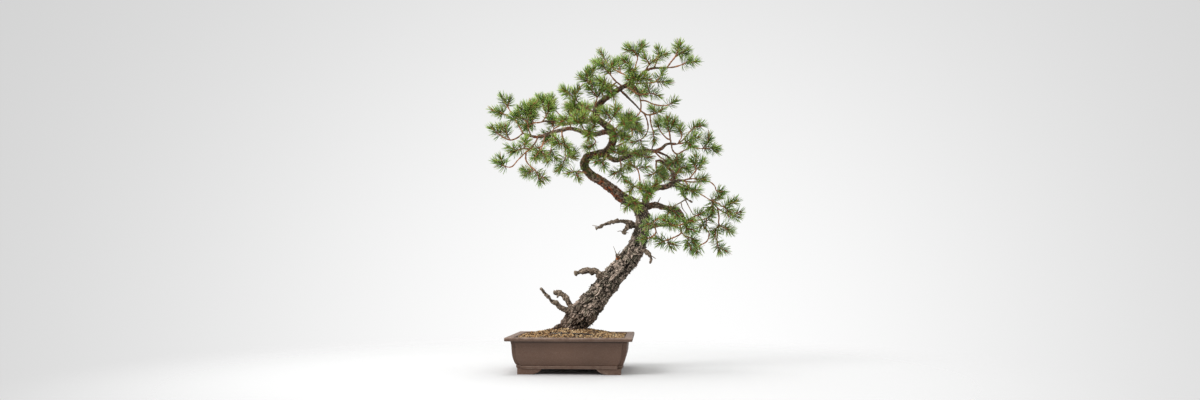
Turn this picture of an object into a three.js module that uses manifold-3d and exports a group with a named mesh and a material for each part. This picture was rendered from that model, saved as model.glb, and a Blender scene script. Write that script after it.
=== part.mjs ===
// A pine bonsai in a shallow rectangular clay pot. Millimetres, +Z up, +X to the right, +Y away from the
// viewer. The pot is hollow with notched corners, a flat rim, a belt and four feet. Two plastic screens lie
// over its drain holes, soil fills it, and the tree stands in the soil, held down by a tie wire. Trunk,
// limbs, dead stubs and roots grew as one piece. Each leafy spray is a body of its own: a slim forked twig
// with some of its facets drawn out into needles.
import * as THREE from "three";
import { mergeVertices } from "three/addons/utils/BufferGeometryUtils.js";
import Module from "manifold-3d";

const wasm = await Module();
wasm.setup();

// ---- Driving dimensions -------------------------------------------------------------------------
const POT = {
  width: 320, // over the rim
  depth: 268,
  height: 93,
  rim: { tall: 9, wide: 20, round: 4 },
  wall: 9,
  inner: 12, // the radius of the inside's upright corners
  foot: { tall: 14, thick: 14, in: 1, alongX: 62, alongY: 50, heel: 0.52 }, // heel: the share that stands
  belt: { tall: 8, proud: 1.6, lip: 0.4 },
  edge: 1.3, // the small bevel along the rim and belt
  floor: 10,
  notch: 12, // the square step cut out of each upright corner
  drain: { radius: 12, apart: 140 },
};
const HALF_WIDTH_IN = [ // how far the body's side stands in from the rim's edge, by height
  [14, 28.5],
  [22, 26.5],
  [28, 22.5],
  [40, 18],
  [55, 15.5],
  [73, 14],
  [81, 12.5],
  [84, 9],
];
const SOIL = { edge: 87, mound: 24.5, reach: 105, clod: 2, cellsX: 17, cellsY: 13, level: 40, under: 1.9 };
const SCREEN = { side: 46, thick: 1.2, bars: 2, slot: 14, pitch: 18 };
const WIRE = { radius: 1.1, sides: 6, steps: 16 };
const GAP = 0.35; // between solids that touch
const NEEDLE = {
  length: 29,
  shortest: 0.92, // the least and the greatest share of that length
  longest: 1.05,
  root: 0.9,
  perTuft: 8,
  zone: 26, // needles stand round this much of a shoot's end, or this share of a short shoot
  share: 0.75,
  bands: 4,
  steepAtTip: 22, // degrees from the shoot, and how far they stray from that and sideways
  steepAtFoot: 60,
  stray: 5,
  aside: 20,
  clear: 0.5,
};
const STEM = { foot: 1.8, side: 1.4, tip: 1.2, bud: 3, band: 3.6 }; // radii, then a bud's and a fork's length
const SIDES = { trunk: 12, limb: 6, stub: 4 };
const TRUNK_STEPS = 41;
const BARK = { deep: 0.1, ribs: 4, rings: 26, margin: 1.1 };

// The tree's points are read off a front view as [across, down, depth]: the first two in that view's own
// units, the last in steps behind the middle of the pot, each as many millimetres as the spread says. The
// view looks from this far, this high and this far to the right of the pot's middle, and is turned by this
// many degrees from the pot's axes.
const VIEW = {
  middle: [600, 200],
  focal: 860,
  level: 277,
  distance: 2288,
  height: 244,
  aside: 72,
  turn: 3.4,
  spread: 1.45,
};

const COLOURS = {
  pot: { color: 0x6a5348, roughness: 0.75, metalness: 0 },
  screen: { color: 0x1c1d1e, roughness: 0.7, metalness: 0 },
  soil: { color: 0x9c7a4e, roughness: 0.95, metalness: 0 },
  wire: { color: 0x3b4148, roughness: 0.45, metalness: 0.8 },
  wood: { color: 0x5b4c40, roughness: 0.9, metalness: 0 },
  needles: { color: 0x56803f, roughness: 0.6, metalness: 0 },
};

// ---- The tree: points with a radius -------------------------------------------------------------
const TRUNK = [ // [across, down, depth, radius]
  [569, 349, 0, 30],
  [571, 337, 0, 33],
  [575, 323, 0, 31],
  [585.5, 311, -2, 30.5],
  [595.5, 299, -4, 28.5],
  [604.6, 287, -4, 26.5],
  [613.8, 276, -2, 25.5],
  [622.6, 266, 0, 24.5],
  [630.6, 256, 3, 23.5],
  [636.3, 247, 4, 22],
  [639.5, 238, 4, 20],
  [642, 229, 3, 18.5],
  [643, 220, 2, 17],
  [641, 211, 0, 16],
  [634, 204, -4, 13.5],
  [623, 198, -9, 12.8],
  [612, 189, -13, 11.8],
  [601, 181, -14, 11],
  [590, 174, -8, 11],
  [584.5, 165, 0, 11.6],
  [588, 157, 8, 11],
  [597, 154.5, 13, 10.4],
  [607, 151.5, 14, 10.2],
  [612.5, 142, 11, 10],
  [612, 131, 4, 9.4],
  [604, 124, -5, 8.5],
  [596, 117, -11, 8],
  [596.5, 108, -14, 7.8],
  [603, 100.5, -16, 7.2],
  [612, 94, -19, 6.6],
  [622, 87.5, -23, 5.6],
  [632, 82, -25, 4.4],
];

// Limbs, each from inside what it grows from: [name, first radius, last radius, points].
const LIMBS = [
  ["low_right", 8.5, 5,
    [[642, 210, 2], [650, 206, 10], [656, 205, 15], [662, 207, 20], [669, 208.5, 23], [676, 209.5, 25],
     [681, 213.5, 25], [684, 220, 22], [688, 228.5, 20]]],
  ["low_front", 7, 3, [[643, 230, 0], [650, 227, -22], [658, 225, -38], [666, 225, -48], [673, 226, -54]]],
  ["mid_right_foot", 12, 7, [[642, 214, 2], [645, 205, 4], [647, 196, 7], [652, 190, 10]]],
  ["mid_right", 7, 6.5,
    [[649, 193, 9], [653, 189.3, 11], [659, 187.5, 13], [665, 187, 15], [670.5, 185, 15]]],
  ["knob_out", 6, 3, [[667, 186.5, 15], [672, 183, 13], [677, 181, 9], [683, 180.3, 3]]],
  ["knob_up", 4.4, 2.2,
    [[670, 185, 15], [674, 178, 18], [672.5, 172, 28], [668, 167.5, 36], [664, 163, 42], [660, 160.5, 46],
     [655.5, 161, 50]]],
  ["upper_right", 7, 4.6,
    [[605, 153, 12], [610, 157.5, 15], [616, 160, 19], [623, 158.3, 24], [630, 155, 27], [637, 151.8, 25],
     [645, 150.6, 20], [652, 151, 15], [659, 151, 10]]],
  ["upper_right_out", 4.4, 2.6,
    [[656, 151, 12], [661.5, 148.5, 8], [665.5, 144.8, 5], [670, 143.6, 1], [676, 144, -4]]],
  ["upper_right_fall", 3.2, 2,
    [[656, 151, 12], [663, 154, 20], [668.5, 157, 28], [672.5, 162, 32], [676, 168, 33]]],
  ["left", 7, 2.8,
    [[613, 133, 5], [605, 132, -5], [597, 134, -12], [588, 134, -15], [579, 130.5, -15],
     [570, 128.5, -12], [562, 130, -10], [553, 132, -8], [545, 135, -5], [538, 137, 0], [531, 136, 5],
     [525, 134, 7.5]]],
  ["left_back", 6, 2.6,
    [[601, 121.5, -6], [592, 120, 10], [581, 121.5, 25], [571, 123, 34], [563, 124.5, 41],
     [556, 122.5, 45], [545, 121.2, 45]]],
  ["crown_right", 4, 2.4,
    [[629, 83, -24], [638.5, 77, -20], [646, 70.5, -10], [653, 68.2, -5], [660, 68, 0], [665, 68, 2]]],
  ["fall_a", 4, 2.6, [[619, 89, -22], [626, 95.5, -10], [631, 100.5, 0], [636.5, 106, 7], [641, 111, 11]]],
  ["fall_b", 3.4, 2.4, [[630, 83, -24], [635, 87, -16], [638, 92, -11]]],
];

// Dead stubs and roots: the same, and they end blunt or in a splinter.
const STUBS = [
  ["stub_low", 8, 3.2,
    [[579, 314, -2], [568, 311, -12], [561.5, 307.5, -14], [555.5, 303, -16], [549.5, 298.3, -18],
     [540.5, 288, -20]]],
  ["stub_hook", 8, 5.4, [[577, 311, 2], [569.5, 304, 5], [566, 298, 7], [561, 293, 9], [554, 292.5, 10]]],
  ["stub_hook_drop", 2.4, 1.8, [[561, 293.4, 9], [558.3, 295.2, 7], [557.2, 297.6, 6]]],
  ["stub_middle", 8.5, 5.4,
    [[609, 281, -2], [601.5, 277, -10], [597, 272.5, -12], [590, 271, -14], [582, 271.5, -16],
     [575, 274, -18]]],
  ["stub_high", 6, 3.2,
    [[642, 226, 0], [633, 224.5, -9], [626, 221.8, -13], [618, 221, -16], [608, 223.5, -19],
     [596, 228.7, -22]]],
  ["stub_high_tip", 1.6, 0.7, [[603, 225.5, -20], [598, 226.3, -20], [592.5, 225.4, -19]]],
  ["stub_crook", 6.4, 5, [[636, 225, -8], [629, 227, -15], [625, 230, -18], [623, 233, -20]]],
  ["stub_crook_left", 1.4, 0.6, [[624, 231.5, -19], [620, 231, -22], [617.3, 231.5, -23]]],
  ["stub_crook_right", 1.4, 0.6, [[623, 232, -20], [626, 232, -23], [628.5, 233, -24]]],
  ["stub_bud", 5, 2.6, [[623, 262, 2], [617.5, 257.5, -12], [616.5, 253.8, -15]]],
  ["stub_bud_left", 1.2, 0.6, [[616.8, 255.5, -14], [615, 250.5, -15], [613.5, 246.5, -15]]],
  ["stub_bud_right", 1.4, 0.8, [[617, 256, -14], [618.6, 253, -16], [620.3, 250.5, -17]]],
  ["stub_right", 6, 2.3,
    [[639, 248, 0], [646, 251.5, -12], [650, 255, -16], [651.3, 259, -18], [650, 263.5, -19]]],
  ["stub_right_tip", 1.8, 0.8, [[649, 254.5, -15], [652.5, 256.5, -18], [655.8, 258.8, -19]]],
  ["stub_under_bend", 3, 1, [[624, 200, -9], [621, 204.5, -12], [620.5, 209.5, -13]]],
  ["stub_on_low_limb", 1.9, 0.8, [[656.5, 206, 15], [658.3, 201.5, 14], [660.5, 197.5, 13]]],
  ["stub_on_upper_limb", 2, 1, [[651.5, 152, 15], [652.3, 147.5, 15], [653.3, 144, 15]]],
  ["stub_dead_fork", 4, 1.2,
    [[671, 185, 13], [679.5, 187, 0], [682, 193, -8], [686, 198.3, -14], [692.5, 202.5, -18]]],
  ["stub_dead_left", 2, 1.1, [[686.5, 198.8, -14], [680, 202.8, -21], [672.5, 206.8, -28]]],
  ["stub_dead_middle", 1.6, 1, [[681, 202, -20], [682.3, 208, -24], [687, 214.5, -28]]],
  ["stub_dead_right", 1.8, 1, [[685, 199, -14], [689, 207, -19], [693.5, 215, -22]]],
  ["stub_base", 2.6, 1.5, [[583, 321, -6], [589, 323.3, -12], [593.2, 325, -14]]],
  ["root_left", 12, 6, [[574, 327, 0], [564, 326.3, -6], [557, 328.5, -10], [550, 339, -14]]],
  ["root_front", 12, 5, [[574, 328, -4], [572, 333, -24], [571, 343, -40]]],
  ["root_right", 11, 4, [[578, 327, 0], [586, 331, -12], [593, 340, -22]]],
  ["root_back", 12, 5, [[574, 327, 4], [577, 331, 26], [580, 340, 44]]],
];

// Leafy sprays: [node, parts], and each part is [twig points, shoot ends]. A node's first twig starts inside
// the wood and is cut clear of it; the others start on a twig of the same node. From a twig's last point a
// shoot curves to each end, and needles stand round the shoot's outer stretch.
const SPRAYS = [
  ["left_tip", [
    [[[525, 134, 7.5], [523, 133.5, 8], [517, 138, 2], [510, 140, -5]], [[492, 128, -12], [506, 126.5, 0]]],
    [[[523, 133.5, 8], [519, 126, 14], [516, 121, 17]], [[502, 97, 25], [493, 110.5, 15]]],
  ]],
  ["left_front", [
    [[[531, 136, 5], [528.5, 129, -8], [527.5, 123, -15]],
     [[515.5, 115, -18], [525, 106, -18], [533, 104, -26]]],
  ]],
  ["left_back", [
    [[[545, 121.2, 45], [539, 122.5, 50], [534, 123, 55]], [[526, 128, 64], [531, 113, 70]]],
    [[[542, 121.7, 48], [545, 118, 38], [546, 115.5, 31]], [[539, 98, 34], [551, 109, 26]]],
  ]],
  ["left_peak", [
    [[[571, 123, 34], [563, 117.5, 45], [557, 112, 50]], [[549, 99, 50]]],
    [[[566, 119.7, 41], [560, 125, 62], [554, 129, 80]], [[546, 140, 90], [552, 117, 94]]],
  ]],
  ["left_low", [
    [[[538, 137, 0], [535, 143, -10], [530, 149, -18], [525, 153, -22], [518, 160, -28], [511, 167, -32]],
     [[496, 161.5, -38]]],
    [[[530, 149, -18], [525, 148.5, -20]], [[512.5, 152, -24], [525.5, 141, -22]]],
    [[[526, 152.2, -21], [526, 160, -22], [530, 166, -26], [535, 170, -28]],
     [[540, 181, -30], [524, 170.5, -14]]],
  ]],
  ["left_under", [
    [[[545, 135, -5], [543, 143, -20], [541, 149, -28]], [[534, 158, -40], [546, 158, -36]]],
  ]],
  ["left_inner", [
    [[[553, 132, -8], [552, 141, 5], [551, 149, 12]], [[548, 161, 14], [556, 158, 24]]],
    [[[552.3, 138, 1], [546, 142, 26], [540, 147, 46]], [[530, 149, 60], [538, 157, 60]]],
  ]],
  ["left_middle", [
    [[[562, 130, -10], [562, 137, -25], [563, 142, -33]], [[555, 144, -44], [568, 147, -44]]],
    [[[562, 134, -18], [564, 142, -2], [565, 149, 8], [566, 156, 11]], [[575, 157, 16], [560, 167, 12]]],
  ]],
  ["trunk_bend", [
    [[[590, 174, -8], [582, 172, -17], [576, 171.5, -21]], [[568.5, 173, -26], [579, 178, -32]]],
  ]],
  ["bright_front", [
    [[[588, 134, -15], [584, 129.5, -35], [582, 125.5, -48]], [[584, 115, -66], [575, 120, -68]]],
    [[[585, 130.5, -31], [590, 130, -40]], [[595, 122, -56], [588, 135, -64]]],
    [[[587, 133, -19], [593, 137.5, -8], [595.5, 142, -2]], [[589.5, 147, 2]]],
  ]],
  ["bright_left", [
    [[[571, 128.7, -12], [570, 123.5, -26], [570, 120, -36]], [[570, 110, -46], [563, 119, -44]]],
  ]],
  ["bright_back", [
    [[[580, 121.6, 26], [579, 117, 40], [578, 113.5, 47]], [[572, 105.5, 58], [587, 108.5, 60]]],
  ]],
  ["shoulder", [
    [[[596, 113, -12], [588, 109, -25], [581, 105, -35], [577, 101, -42]],
     [[564, 89, -52], [574.5, 92, -48]]],
    [[[588, 109, -25], [583, 110, -33]], [[571, 106.5, -47]]],
  ]],
  ["shoulder_front", [
    [[[596.5, 109, -14], [595.5, 103.5, -30], [597, 98, -38]], [[589, 88.5, -46], [602, 88, -50]]],
  ]],
  ["crown_left", [
    [[[620, 88.5, -22], [612, 84.8, -31], [604, 85, -36], [595, 85.3, -38]],
     [[581, 77, -44], [589, 71, -42]]],
  ]],
  ["crown_front", [
    [[[623, 87, -23], [615, 80.5, -37], [610.5, 75, -45]], [[602, 64.5, -52], [612, 65, -52]]],
    [[[617, 82, -34], [610, 86, -46]], [[601, 81, -56], [611, 92, -58]]],
  ]],
  ["crown_back_left", [
    [[[631, 82.5, -25], [625, 75, -5], [618, 71.5, 5], [610, 66, 10]], [[601, 53, 10], [595.5, 62, 18]]],
    [[[620, 72.3, 3], [620, 70, 9]], [[618.5, 62.5, 14]]],
  ]],
  ["apex", [
    [[[632, 82, -25], [634, 73, -25], [636, 64, -22], [637.5, 57.5, -20]],
     [[629, 47, -24], [641, 45.5, -18]]],
    [[[634.5, 71, -24.5], [631, 68, -36]], [[627, 60.5, -44], [630, 72, -60]]],
  ]],
  ["apex_right", [
    [[[646, 70.5, -10], [647.5, 67, -20], [649, 65, -25]], [[645, 57.5, -30], [656, 60, -28]]],
  ]],
  ["top_inner", [
    [[[654, 68.2, -4], [656.5, 62, 6], [658.5, 58, 9]], [[658, 49, 8], [666, 54, 18]]],
  ]],
  ["top_right", [
    [[[665, 68, 2], [666.5, 67.8, 2], [671, 62, 0], [675, 57, -2]], [[680, 44.5, -4], [687, 50, 4]]],
    [[[666.5, 67.8, 2], [674, 67, -4], [681, 65, -8]], [[690, 60.5, -10]]],
  ]],
  ["top_right_low", [
    [[[632, 83, -24], [640, 83.5, -30], [648, 83, -35], [655, 82, -38]],
     [[663, 71.5, -42], [668, 82, -40]]],
  ]],
  ["crown_right_front", [
    [[[638, 77, -20], [638.5, 79, -34], [638.5, 80, -42]], [[632.5, 77, -62], [645, 76.5, -58]]],
  ]],
  ["fall_side", [
    [[[638, 92, -11], [639.5, 96, -9], [641, 104, -8], [640, 112, -14], [635, 117.5, -20]],
     [[627, 119.5, -30], [638, 125, -38]]],
    [[[639.2, 95, -9.5], [645, 94, -20], [649, 93, -25]], [[647, 85.5, -30], [658, 95.5, -34]]],
    [[[640.5, 100.5, -8], [646, 101, -12], [653, 104, -15], [660, 105.5, -18], [667, 105.3, -20]],
     [[675, 101, -22]]],
  ]],
  ["fall_low", [
    [[[641, 111, 11], [644, 113.2, 13], [648, 115, 15], [654, 114, 18]],
     [[662, 109.5, 22], [652, 108, 30]]],
    [[[644, 113.2, 13], [647, 120, 15], [648, 129, 18], [645, 136, 20], [641, 139.3, 21]],
     [[633, 142, 22], [643, 148, 28]]],
    [[[650, 114.8, 16.5], [651, 124, 10], [653, 131, 5]], [[654, 140, 0]]],
  ]],
  ["heart_left", [
    [[[606, 126, -3], [609, 122.5, -34], [611, 120, -52]], [[605, 111, -74], [618, 109.5, -80]]],
  ]],
  ["heart_right", [
    [[[612.5, 133, 5], [617, 127, -30], [621, 123.5, -50]], [[628, 115, -66], [624, 124, -84]]],
    [[[616, 128.2, -22], [619, 131.5, -42], [621, 133, -56]], [[614, 136, -78], [628, 136.5, -76]]],
  ]],
  ["heart_back", [
    [[[612.5, 139, 10], [620, 131.5, 45], [626, 126, 70]], [[620, 116, 84], [635, 119, 88]]],
  ]],
  ["fork_top", [
    [[[612, 148, 13], [620, 144.5, 5], [627, 141, 0], [632, 135.5, -4], [631.5, 130, -5]],
     [[627, 126.5, 8], [639, 129, 6]]],
  ]],
  ["bend_front", [
    [[[606, 152.5, 13], [606, 157, -18], [603, 159, -30]], [[595.5, 162, -42], [604, 167, -42]]],
  ]],
  ["limb_top", [
    [[[619, 160, 21], [619, 156, 6], [619, 154, 0]], [[613, 151.5, -14], [625.5, 150.5, -12]]],
    [[[619, 157.5, 11], [621, 165, 4], [620, 170, -2]], [[613.5, 174, -12], [624, 179, 4]]],
  ]],
  ["limb_front", [
    [[[644, 150.8, 20], [643, 154, 0], [641.5, 156, -14]], [[636, 153.5, -30], [650, 157, -32]]],
  ]],
  ["inner_top", [
    [[[646, 199, 6], [641, 191, -10], [640, 181, -12], [639, 174, -10], [637.5, 169.5, -9]],
     [[631, 164, -14], [646, 167, -18]]],
    [[[640, 185, -11.5], [635, 186, -20]], [[627, 181.5, -26], [630, 191.5, -30]]],
  ]],
  ["back_middle", [
    [[[609.5, 148, 15], [618, 150, 50], [624, 155, 82], [628, 158, 100]],
     [[621, 150, 116], [636, 154, 120], [629, 168, 114]]],
  ]],
  ["under_knob", [
    [[[656.5, 161, 49.5], [656, 167, 40], [657, 171, 33]], [[650.5, 175, 26], [663, 178, 26]]],
  ]],
  ["trunk_top", [
    [[[650, 192, 9.5], [649, 190, -14], [648.5, 189, -24]],
     [[642, 186, -36], [656, 185, -38], [647, 197, -42]]],
  ]],
  ["trunk_front", [
    [[[634, 204, -4], [634, 200, -26], [633, 199.5, -32]], [[627, 207, -44], [638, 208, -50]]],
  ]],
  ["right_peak", [
    [[[671, 143.6, 0], [670.3, 140, -1], [667, 138.5, 4], [661, 132, 8]], [[656.5, 123, 9]]],
    [[[670.3, 140, -1], [670, 136, -6], [669.5, 133, -8]], [[666, 121.5, -10], [674, 122.5, -8]]],
  ]],
  ["right_middle", [
    [[[676, 144, -4], [677.5, 144, -5], [680, 140, -9], [681.5, 137.5, -11]], [[680, 129.5, -14]]],
    [[[677.5, 144, -5], [684, 139, 2], [690, 131.5, 8]], [[698.5, 124.5, 11]]],
    [[[677.5, 144, -5], [685, 142.5, -10]], [[693, 136, -16], [690, 145, -28]]],
  ]],
  ["right_tip", [
    [[[671.5, 143.8, 0], [672.5, 150, 6], [677, 154, 9], [684, 150.5, 11], [692, 147.5, 13],
      [702, 148.5, 15]],
     [[709, 140.5, 16], [716, 148, 12]]],
    [[[677, 154, 9], [677, 157, 4]], [[677.5, 162, -4]]],
  ]],
  ["right_low_up", [
    [[[674, 178, 18], [677, 173, 28], [679.5, 169, 32]], [[678, 160.5, 36], [687, 167, 38]]],
  ]],
  ["right_shelf", [
    [[[683, 180.3, 3], [687, 179.3, 0], [693, 178.7, -4]], [[704, 180, -8]]],
    [[[689, 179, -1.3], [693.5, 173.5, -12], [696, 170, -17]], [[692, 161.5, -24], [703, 162.5, -20]]],
    [[[685, 179.8, 1.5], [687, 184, -13], [689, 187, -20]], [[684, 192, -30], [693.5, 193.5, -30]]],
  ]],
  ["cascade", [
    [[[676, 181.5, 10], [684, 185.5, 16], [693, 189.5, 17], [703, 195.5, 18], [711, 200, 20]],
     [[719, 197.5, 24], [713, 209, 24]]],
    [[[711, 200, 20], [718, 203.5, 12], [723, 206.5, 7]], [[730, 202, 4], [730, 211.5, -4]]],
    [[[711, 200, 20], [717.5, 208, 26], [724.5, 212.5, 25], [729, 214, 23]], [[737.5, 217, 20]]],
    [[[717.5, 208, 26], [719, 217, 28], [719, 224, 29]], [[728, 229, 24], [714, 231, 32]]],
    [[[719, 224, 29], [717.8, 232, 31], [717, 240, 32]], [[719.5, 251, 33]]],
  ]],
  ["bare_arch", [
    [[[681, 180.8, 4.5], [692, 182, 12], [702, 181.5, 14], [710, 182, 14], [715, 186.5, 13],
      [716.3, 190.5, 12]],
     [[722.5, 191.5, 6]]],
  ]],
  ["low_limb", [
    [[[669, 208.5, 22], [670, 208, 4], [671, 208.5, -8]], [[667, 216, -16], [678, 215.5, -18]]],
  ]],
  ["low_near_trunk", [
    [[[655, 226, -32], [653.5, 224, -46], [652.5, 223, -52]], [[646, 225, -58], [658, 219, -64]]],
    [[[653.8, 224.5, -43], [656, 232, -42], [653, 236, -45]], [[643.5, 239, -52]]],
  ]],
  ["low_front", [
    [[[666, 225, -48], [667.5, 223.5, -60], [668, 223, -66]], [[664, 220, -82], [673, 225, -84]]],
  ]],
  ["low_front_tip", [
    [[[673, 226, -54], [675, 226, -55], [680, 225, -55], [683, 224, -55]],
     [[691, 222.5, -60], [687, 231, -66]]],
    [[[680, 225, -55], [681, 233, -47], [675, 237, -41], [668, 239.5, -37]],
     [[660, 243, -34], [670.5, 247, -32]]],
    [[[681, 232, -48], [685, 236, -43], [688, 237, -41]], [[687, 244, -38], [695.5, 240, -44]]],
  ]],
  ["low_far", [
    [[[684.5, 221, 21.5], [692, 220, 27], [700, 220, 31], [706, 218.5, 33]],
     [[712, 215, 36], [705, 227, 26]]],
    [[[687, 220.8, 23.5], [691, 218, 16], [694, 216.5, 11]], [[700, 214, 6]]],
    [[[702, 219.8, 31.5], [704, 227, 30], [709, 233, 28], [707, 241, 25], [701, 245, 22]],
     [[694, 250, 20]]],
  ]],
  ["back_left", [
    [[[603, 123, -4], [600, 118, 40], [597, 114, 70], [593, 112, 90]], [[583, 107, 104], [598, 104, 114]]],
  ]],
  ["back_right", [
    [[[656, 188.5, 12], [660, 183, 50], [664, 180, 80], [668, 178, 98]],
     [[661, 171, 110], [677, 171, 114], [676, 185, 116]]],
  ]],
  ["back_crown", [
    [[[622, 87.5, -23], [628, 88, 18], [634, 92, 48], [637, 94, 64]], [[631, 87, 78], [645, 94, 80]]],
  ]],
  ["back_low_right", [
    [[[664, 207.5, 21], [669, 212, 50], [674, 216, 74]], [[682, 219.5, 86], [676, 226, 90]]],
  ]],
  ["back_upper_right", [
    [[[654, 151, 14], [660, 157, 50], [665, 161.5, 72]], [[660, 169, 84], [673, 165, 90]]],
  ]],
];

const FIRST_SEED = 977;

// ---- Small helpers ------------------------------------------------------------------------------
const radians = THREE.MathUtils.degToRad;
const lerp = THREE.MathUtils.lerp;
const GOLDEN_ANGLE = Math.PI * (3 - Math.sqrt(5));

// A point of the front view, in the pot's own axes.
function place([across, down, steps]) {
  const depth = steps * VIEW.spread;
  const tilt = Math.atan((VIEW.level - VIEW.middle[1]) / VIEW.focal);
  const u = (across - VIEW.middle[0]) / VIEW.focal;
  const v = (VIEW.middle[1] - down) / VIEW.focal;
  const far = (VIEW.distance + depth) / (Math.cos(tilt) - v * Math.sin(tilt));
  const point = new THREE.Vector3(
    VIEW.aside + u * far,
    depth,
    VIEW.height + far * (Math.sin(tilt) + v * Math.cos(tilt)),
  );
  return point.applyAxisAngle(new THREE.Vector3(0, 0, 1), radians(VIEW.turn));
}

// Repeatable random numbers from 0 to 1.
function draws(seed) {
  let state = seed;
  return () => {
    state = (Math.imul(state, 1664525) + 1013904223) >>> 0;
    return state / 4294967296;
  };
}

// A value read off [height, value] pairs, straight between them.
function along(pairs, at) {
  const held = Math.min(Math.max(at, pairs[0][0]), pairs[pairs.length - 1][0]);
  const i = Math.max(1, pairs.findIndex((pair) => pair[0] >= held));
  const [[a, va], [b, vb]] = [pairs[i - 1], pairs[i]];
  return lerp(va, vb, (held - a) / (b - a));
}

// A closed geometry as a solid that can be joined and cut.
function solid(geometry) {
  const bare = geometry.index ? geometry.toNonIndexed() : geometry.clone();
  bare.deleteAttribute("normal");
  bare.deleteAttribute("uv");
  const merged = mergeVertices(bare, 1e-4);
  return new wasm.Manifold(
    new wasm.Mesh({
      numProp: 3,
      vertProperties: merged.attributes.position.array,
      triVerts: new Uint32Array(merged.index.array),
    }),
  );
}

function meshOf(made, name, look) {
  const { vertProperties, triVerts } = made.getMesh();
  const geometry = new THREE.BufferGeometry()
    .setAttribute("position", new THREE.BufferAttribute(vertProperties, 3))
    .setIndex(new THREE.BufferAttribute(triVerts, 1));
  geometry.computeVertexNormals();
  const mesh = new THREE.Mesh(geometry, new THREE.MeshStandardMaterial(look));
  mesh.name = name;
  return mesh;
}

function largest(made) {
  return made.decompose().sort((a, b) => b.volume() - a.volume())[0];
}

const unite = (solids) => wasm.Manifold.union(solids);

// ---- Round wood ---------------------------------------------------------------------------------
// A cylinder bent along a smooth curve. radiusAt(t) is its radius at t from 0 to 1, and reliefAt(t, angle)
// swells it.
function bentRod(curve, radiusAt, sides, steps, reliefAt = () => 1) {
  const rings = [];
  let normal = new THREE.Vector3(0, 1, 0);
  for (let i = 0; i <= steps; i++) {
    const middle = curve.getPoint(i / steps);
    const tangent = curve.getTangent(i / steps);
    normal = normal.clone().addScaledVector(tangent, -normal.dot(tangent)).normalize();
    const across = new THREE.Vector3().crossVectors(normal, tangent);
    rings.push({ middle, normal, across });
  }
  const rod = new THREE.CylinderGeometry(1, 1, 1, sides, steps);
  const points = rod.attributes.position;
  for (let i = 0; i < points.count; i++) {
    const [x, y, z] = [points.getX(i), points.getY(i), points.getZ(i)];
    const ring = Math.round((y + 0.5) * steps);
    const t = ring / steps;
    const r = radiusAt(t) * reliefAt(t, Math.atan2(z, x));
    const { middle, normal: n, across: a } = rings[ring];
    const at = middle.clone().addScaledVector(n, x * r).addScaledVector(a, z * r);
    points.setXYZ(i, at.x, at.y, at.z);
  }
  return solid(rod);
}

// The same curve, longer by the gap at each end, for what is cut clear of the rod.
function stretched(points, by) {
  const first = points[0].clone().sub(points[1]).setLength(by).add(points[0]);
  const n = points.length - 1;
  const last = points[n].clone().sub(points[n - 1]).setLength(by).add(points[n]);
  return [first, ...points.slice(1, n), last];
}

// One piece of wood, grown by the gap where other pieces are cut clear of it.
function woodRod({ points, radii, sides, steps, relief }, grown = 0) {
  const curve = new THREE.CatmullRomCurve3(grown ? stretched(points, grown) : points, false, "centripetal");
  const count = radii.length - 1;
  const radiusAt = (t) => {
    const i = Math.min(count - 1, Math.floor(t * count));
    return lerp(radii[i], radii[i + 1], t * count - i) + grown;
  };
  return bentRod(curve, radiusAt, sides, steps, relief);
}

// Bark plates: ridges that run up the trunk and wander, broken across into blocks.
function plates(t, angle) {
  const wander = 1.3 * Math.sin(t * BARK.rings * 0.9);
  const ridges = Math.sin(angle * BARK.ribs + wander + t * 5);
  const blocks = Math.sin(t * BARK.rings * Math.PI + 2.2 * Math.sin(angle * 2));
  return 1 + BARK.deep * (0.6 * ridges + 0.4 * blocks) * (1 - 0.5 * t);
}

// Everything that grew as one with the trunk: the trunk itself, its limbs, and its dead stubs and roots.
function woodPieces() {
  const trunk = {
    points: TRUNK.map(place),
    radii: TRUNK.map((p) => p[3]),
    sides: SIDES.trunk,
    steps: TRUNK_STEPS,
    relief: plates,
  };
  const tapered = (sides) => ([, first, last, points]) => ({
    points: points.map(place),
    radii: [first, last],
    sides,
    steps: points.length - 1,
  });
  return [trunk, ...LIMBS.map(tapered(SIDES.limb)), ...STUBS.map(tapered(SIDES.stub))];
}

// ---- Sprays -------------------------------------------------------------------------------------
// A stretch of rod, for measuring how far things are from each other.
const stretches = (curve, steps, radiusAt) =>
  Array.from({ length: steps }, (_, i) => ({
    from: curve.getPoint(i / steps),
    to: curve.getPoint((i + 1) / steps),
    radius: radiusAt((i + 0.5) / steps),
  }));

// The shortest distance between two straight stretches.
function distance(a, b) {
  const u = a.to.clone().sub(a.from);
  const v = b.to.clone().sub(b.from);
  const w = a.from.clone().sub(b.from);
  const [uu, uv, vv, uw, vw] = [u.dot(u), u.dot(v), v.dot(v), u.dot(w), v.dot(w)];
  const clamp = (x) => Math.min(1, Math.max(0, x));
  const flat = uu * vv - uv * uv;
  let s = flat > 1e-9 ? clamp((uv * vw - vv * uw) / flat) : 0;
  const t = clamp((uv * s + vw) / vv);
  s = clamp((uv * t - uw) / uu);
  return w.addScaledVector(u, s).addScaledVector(v, -t).length();
}

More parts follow.
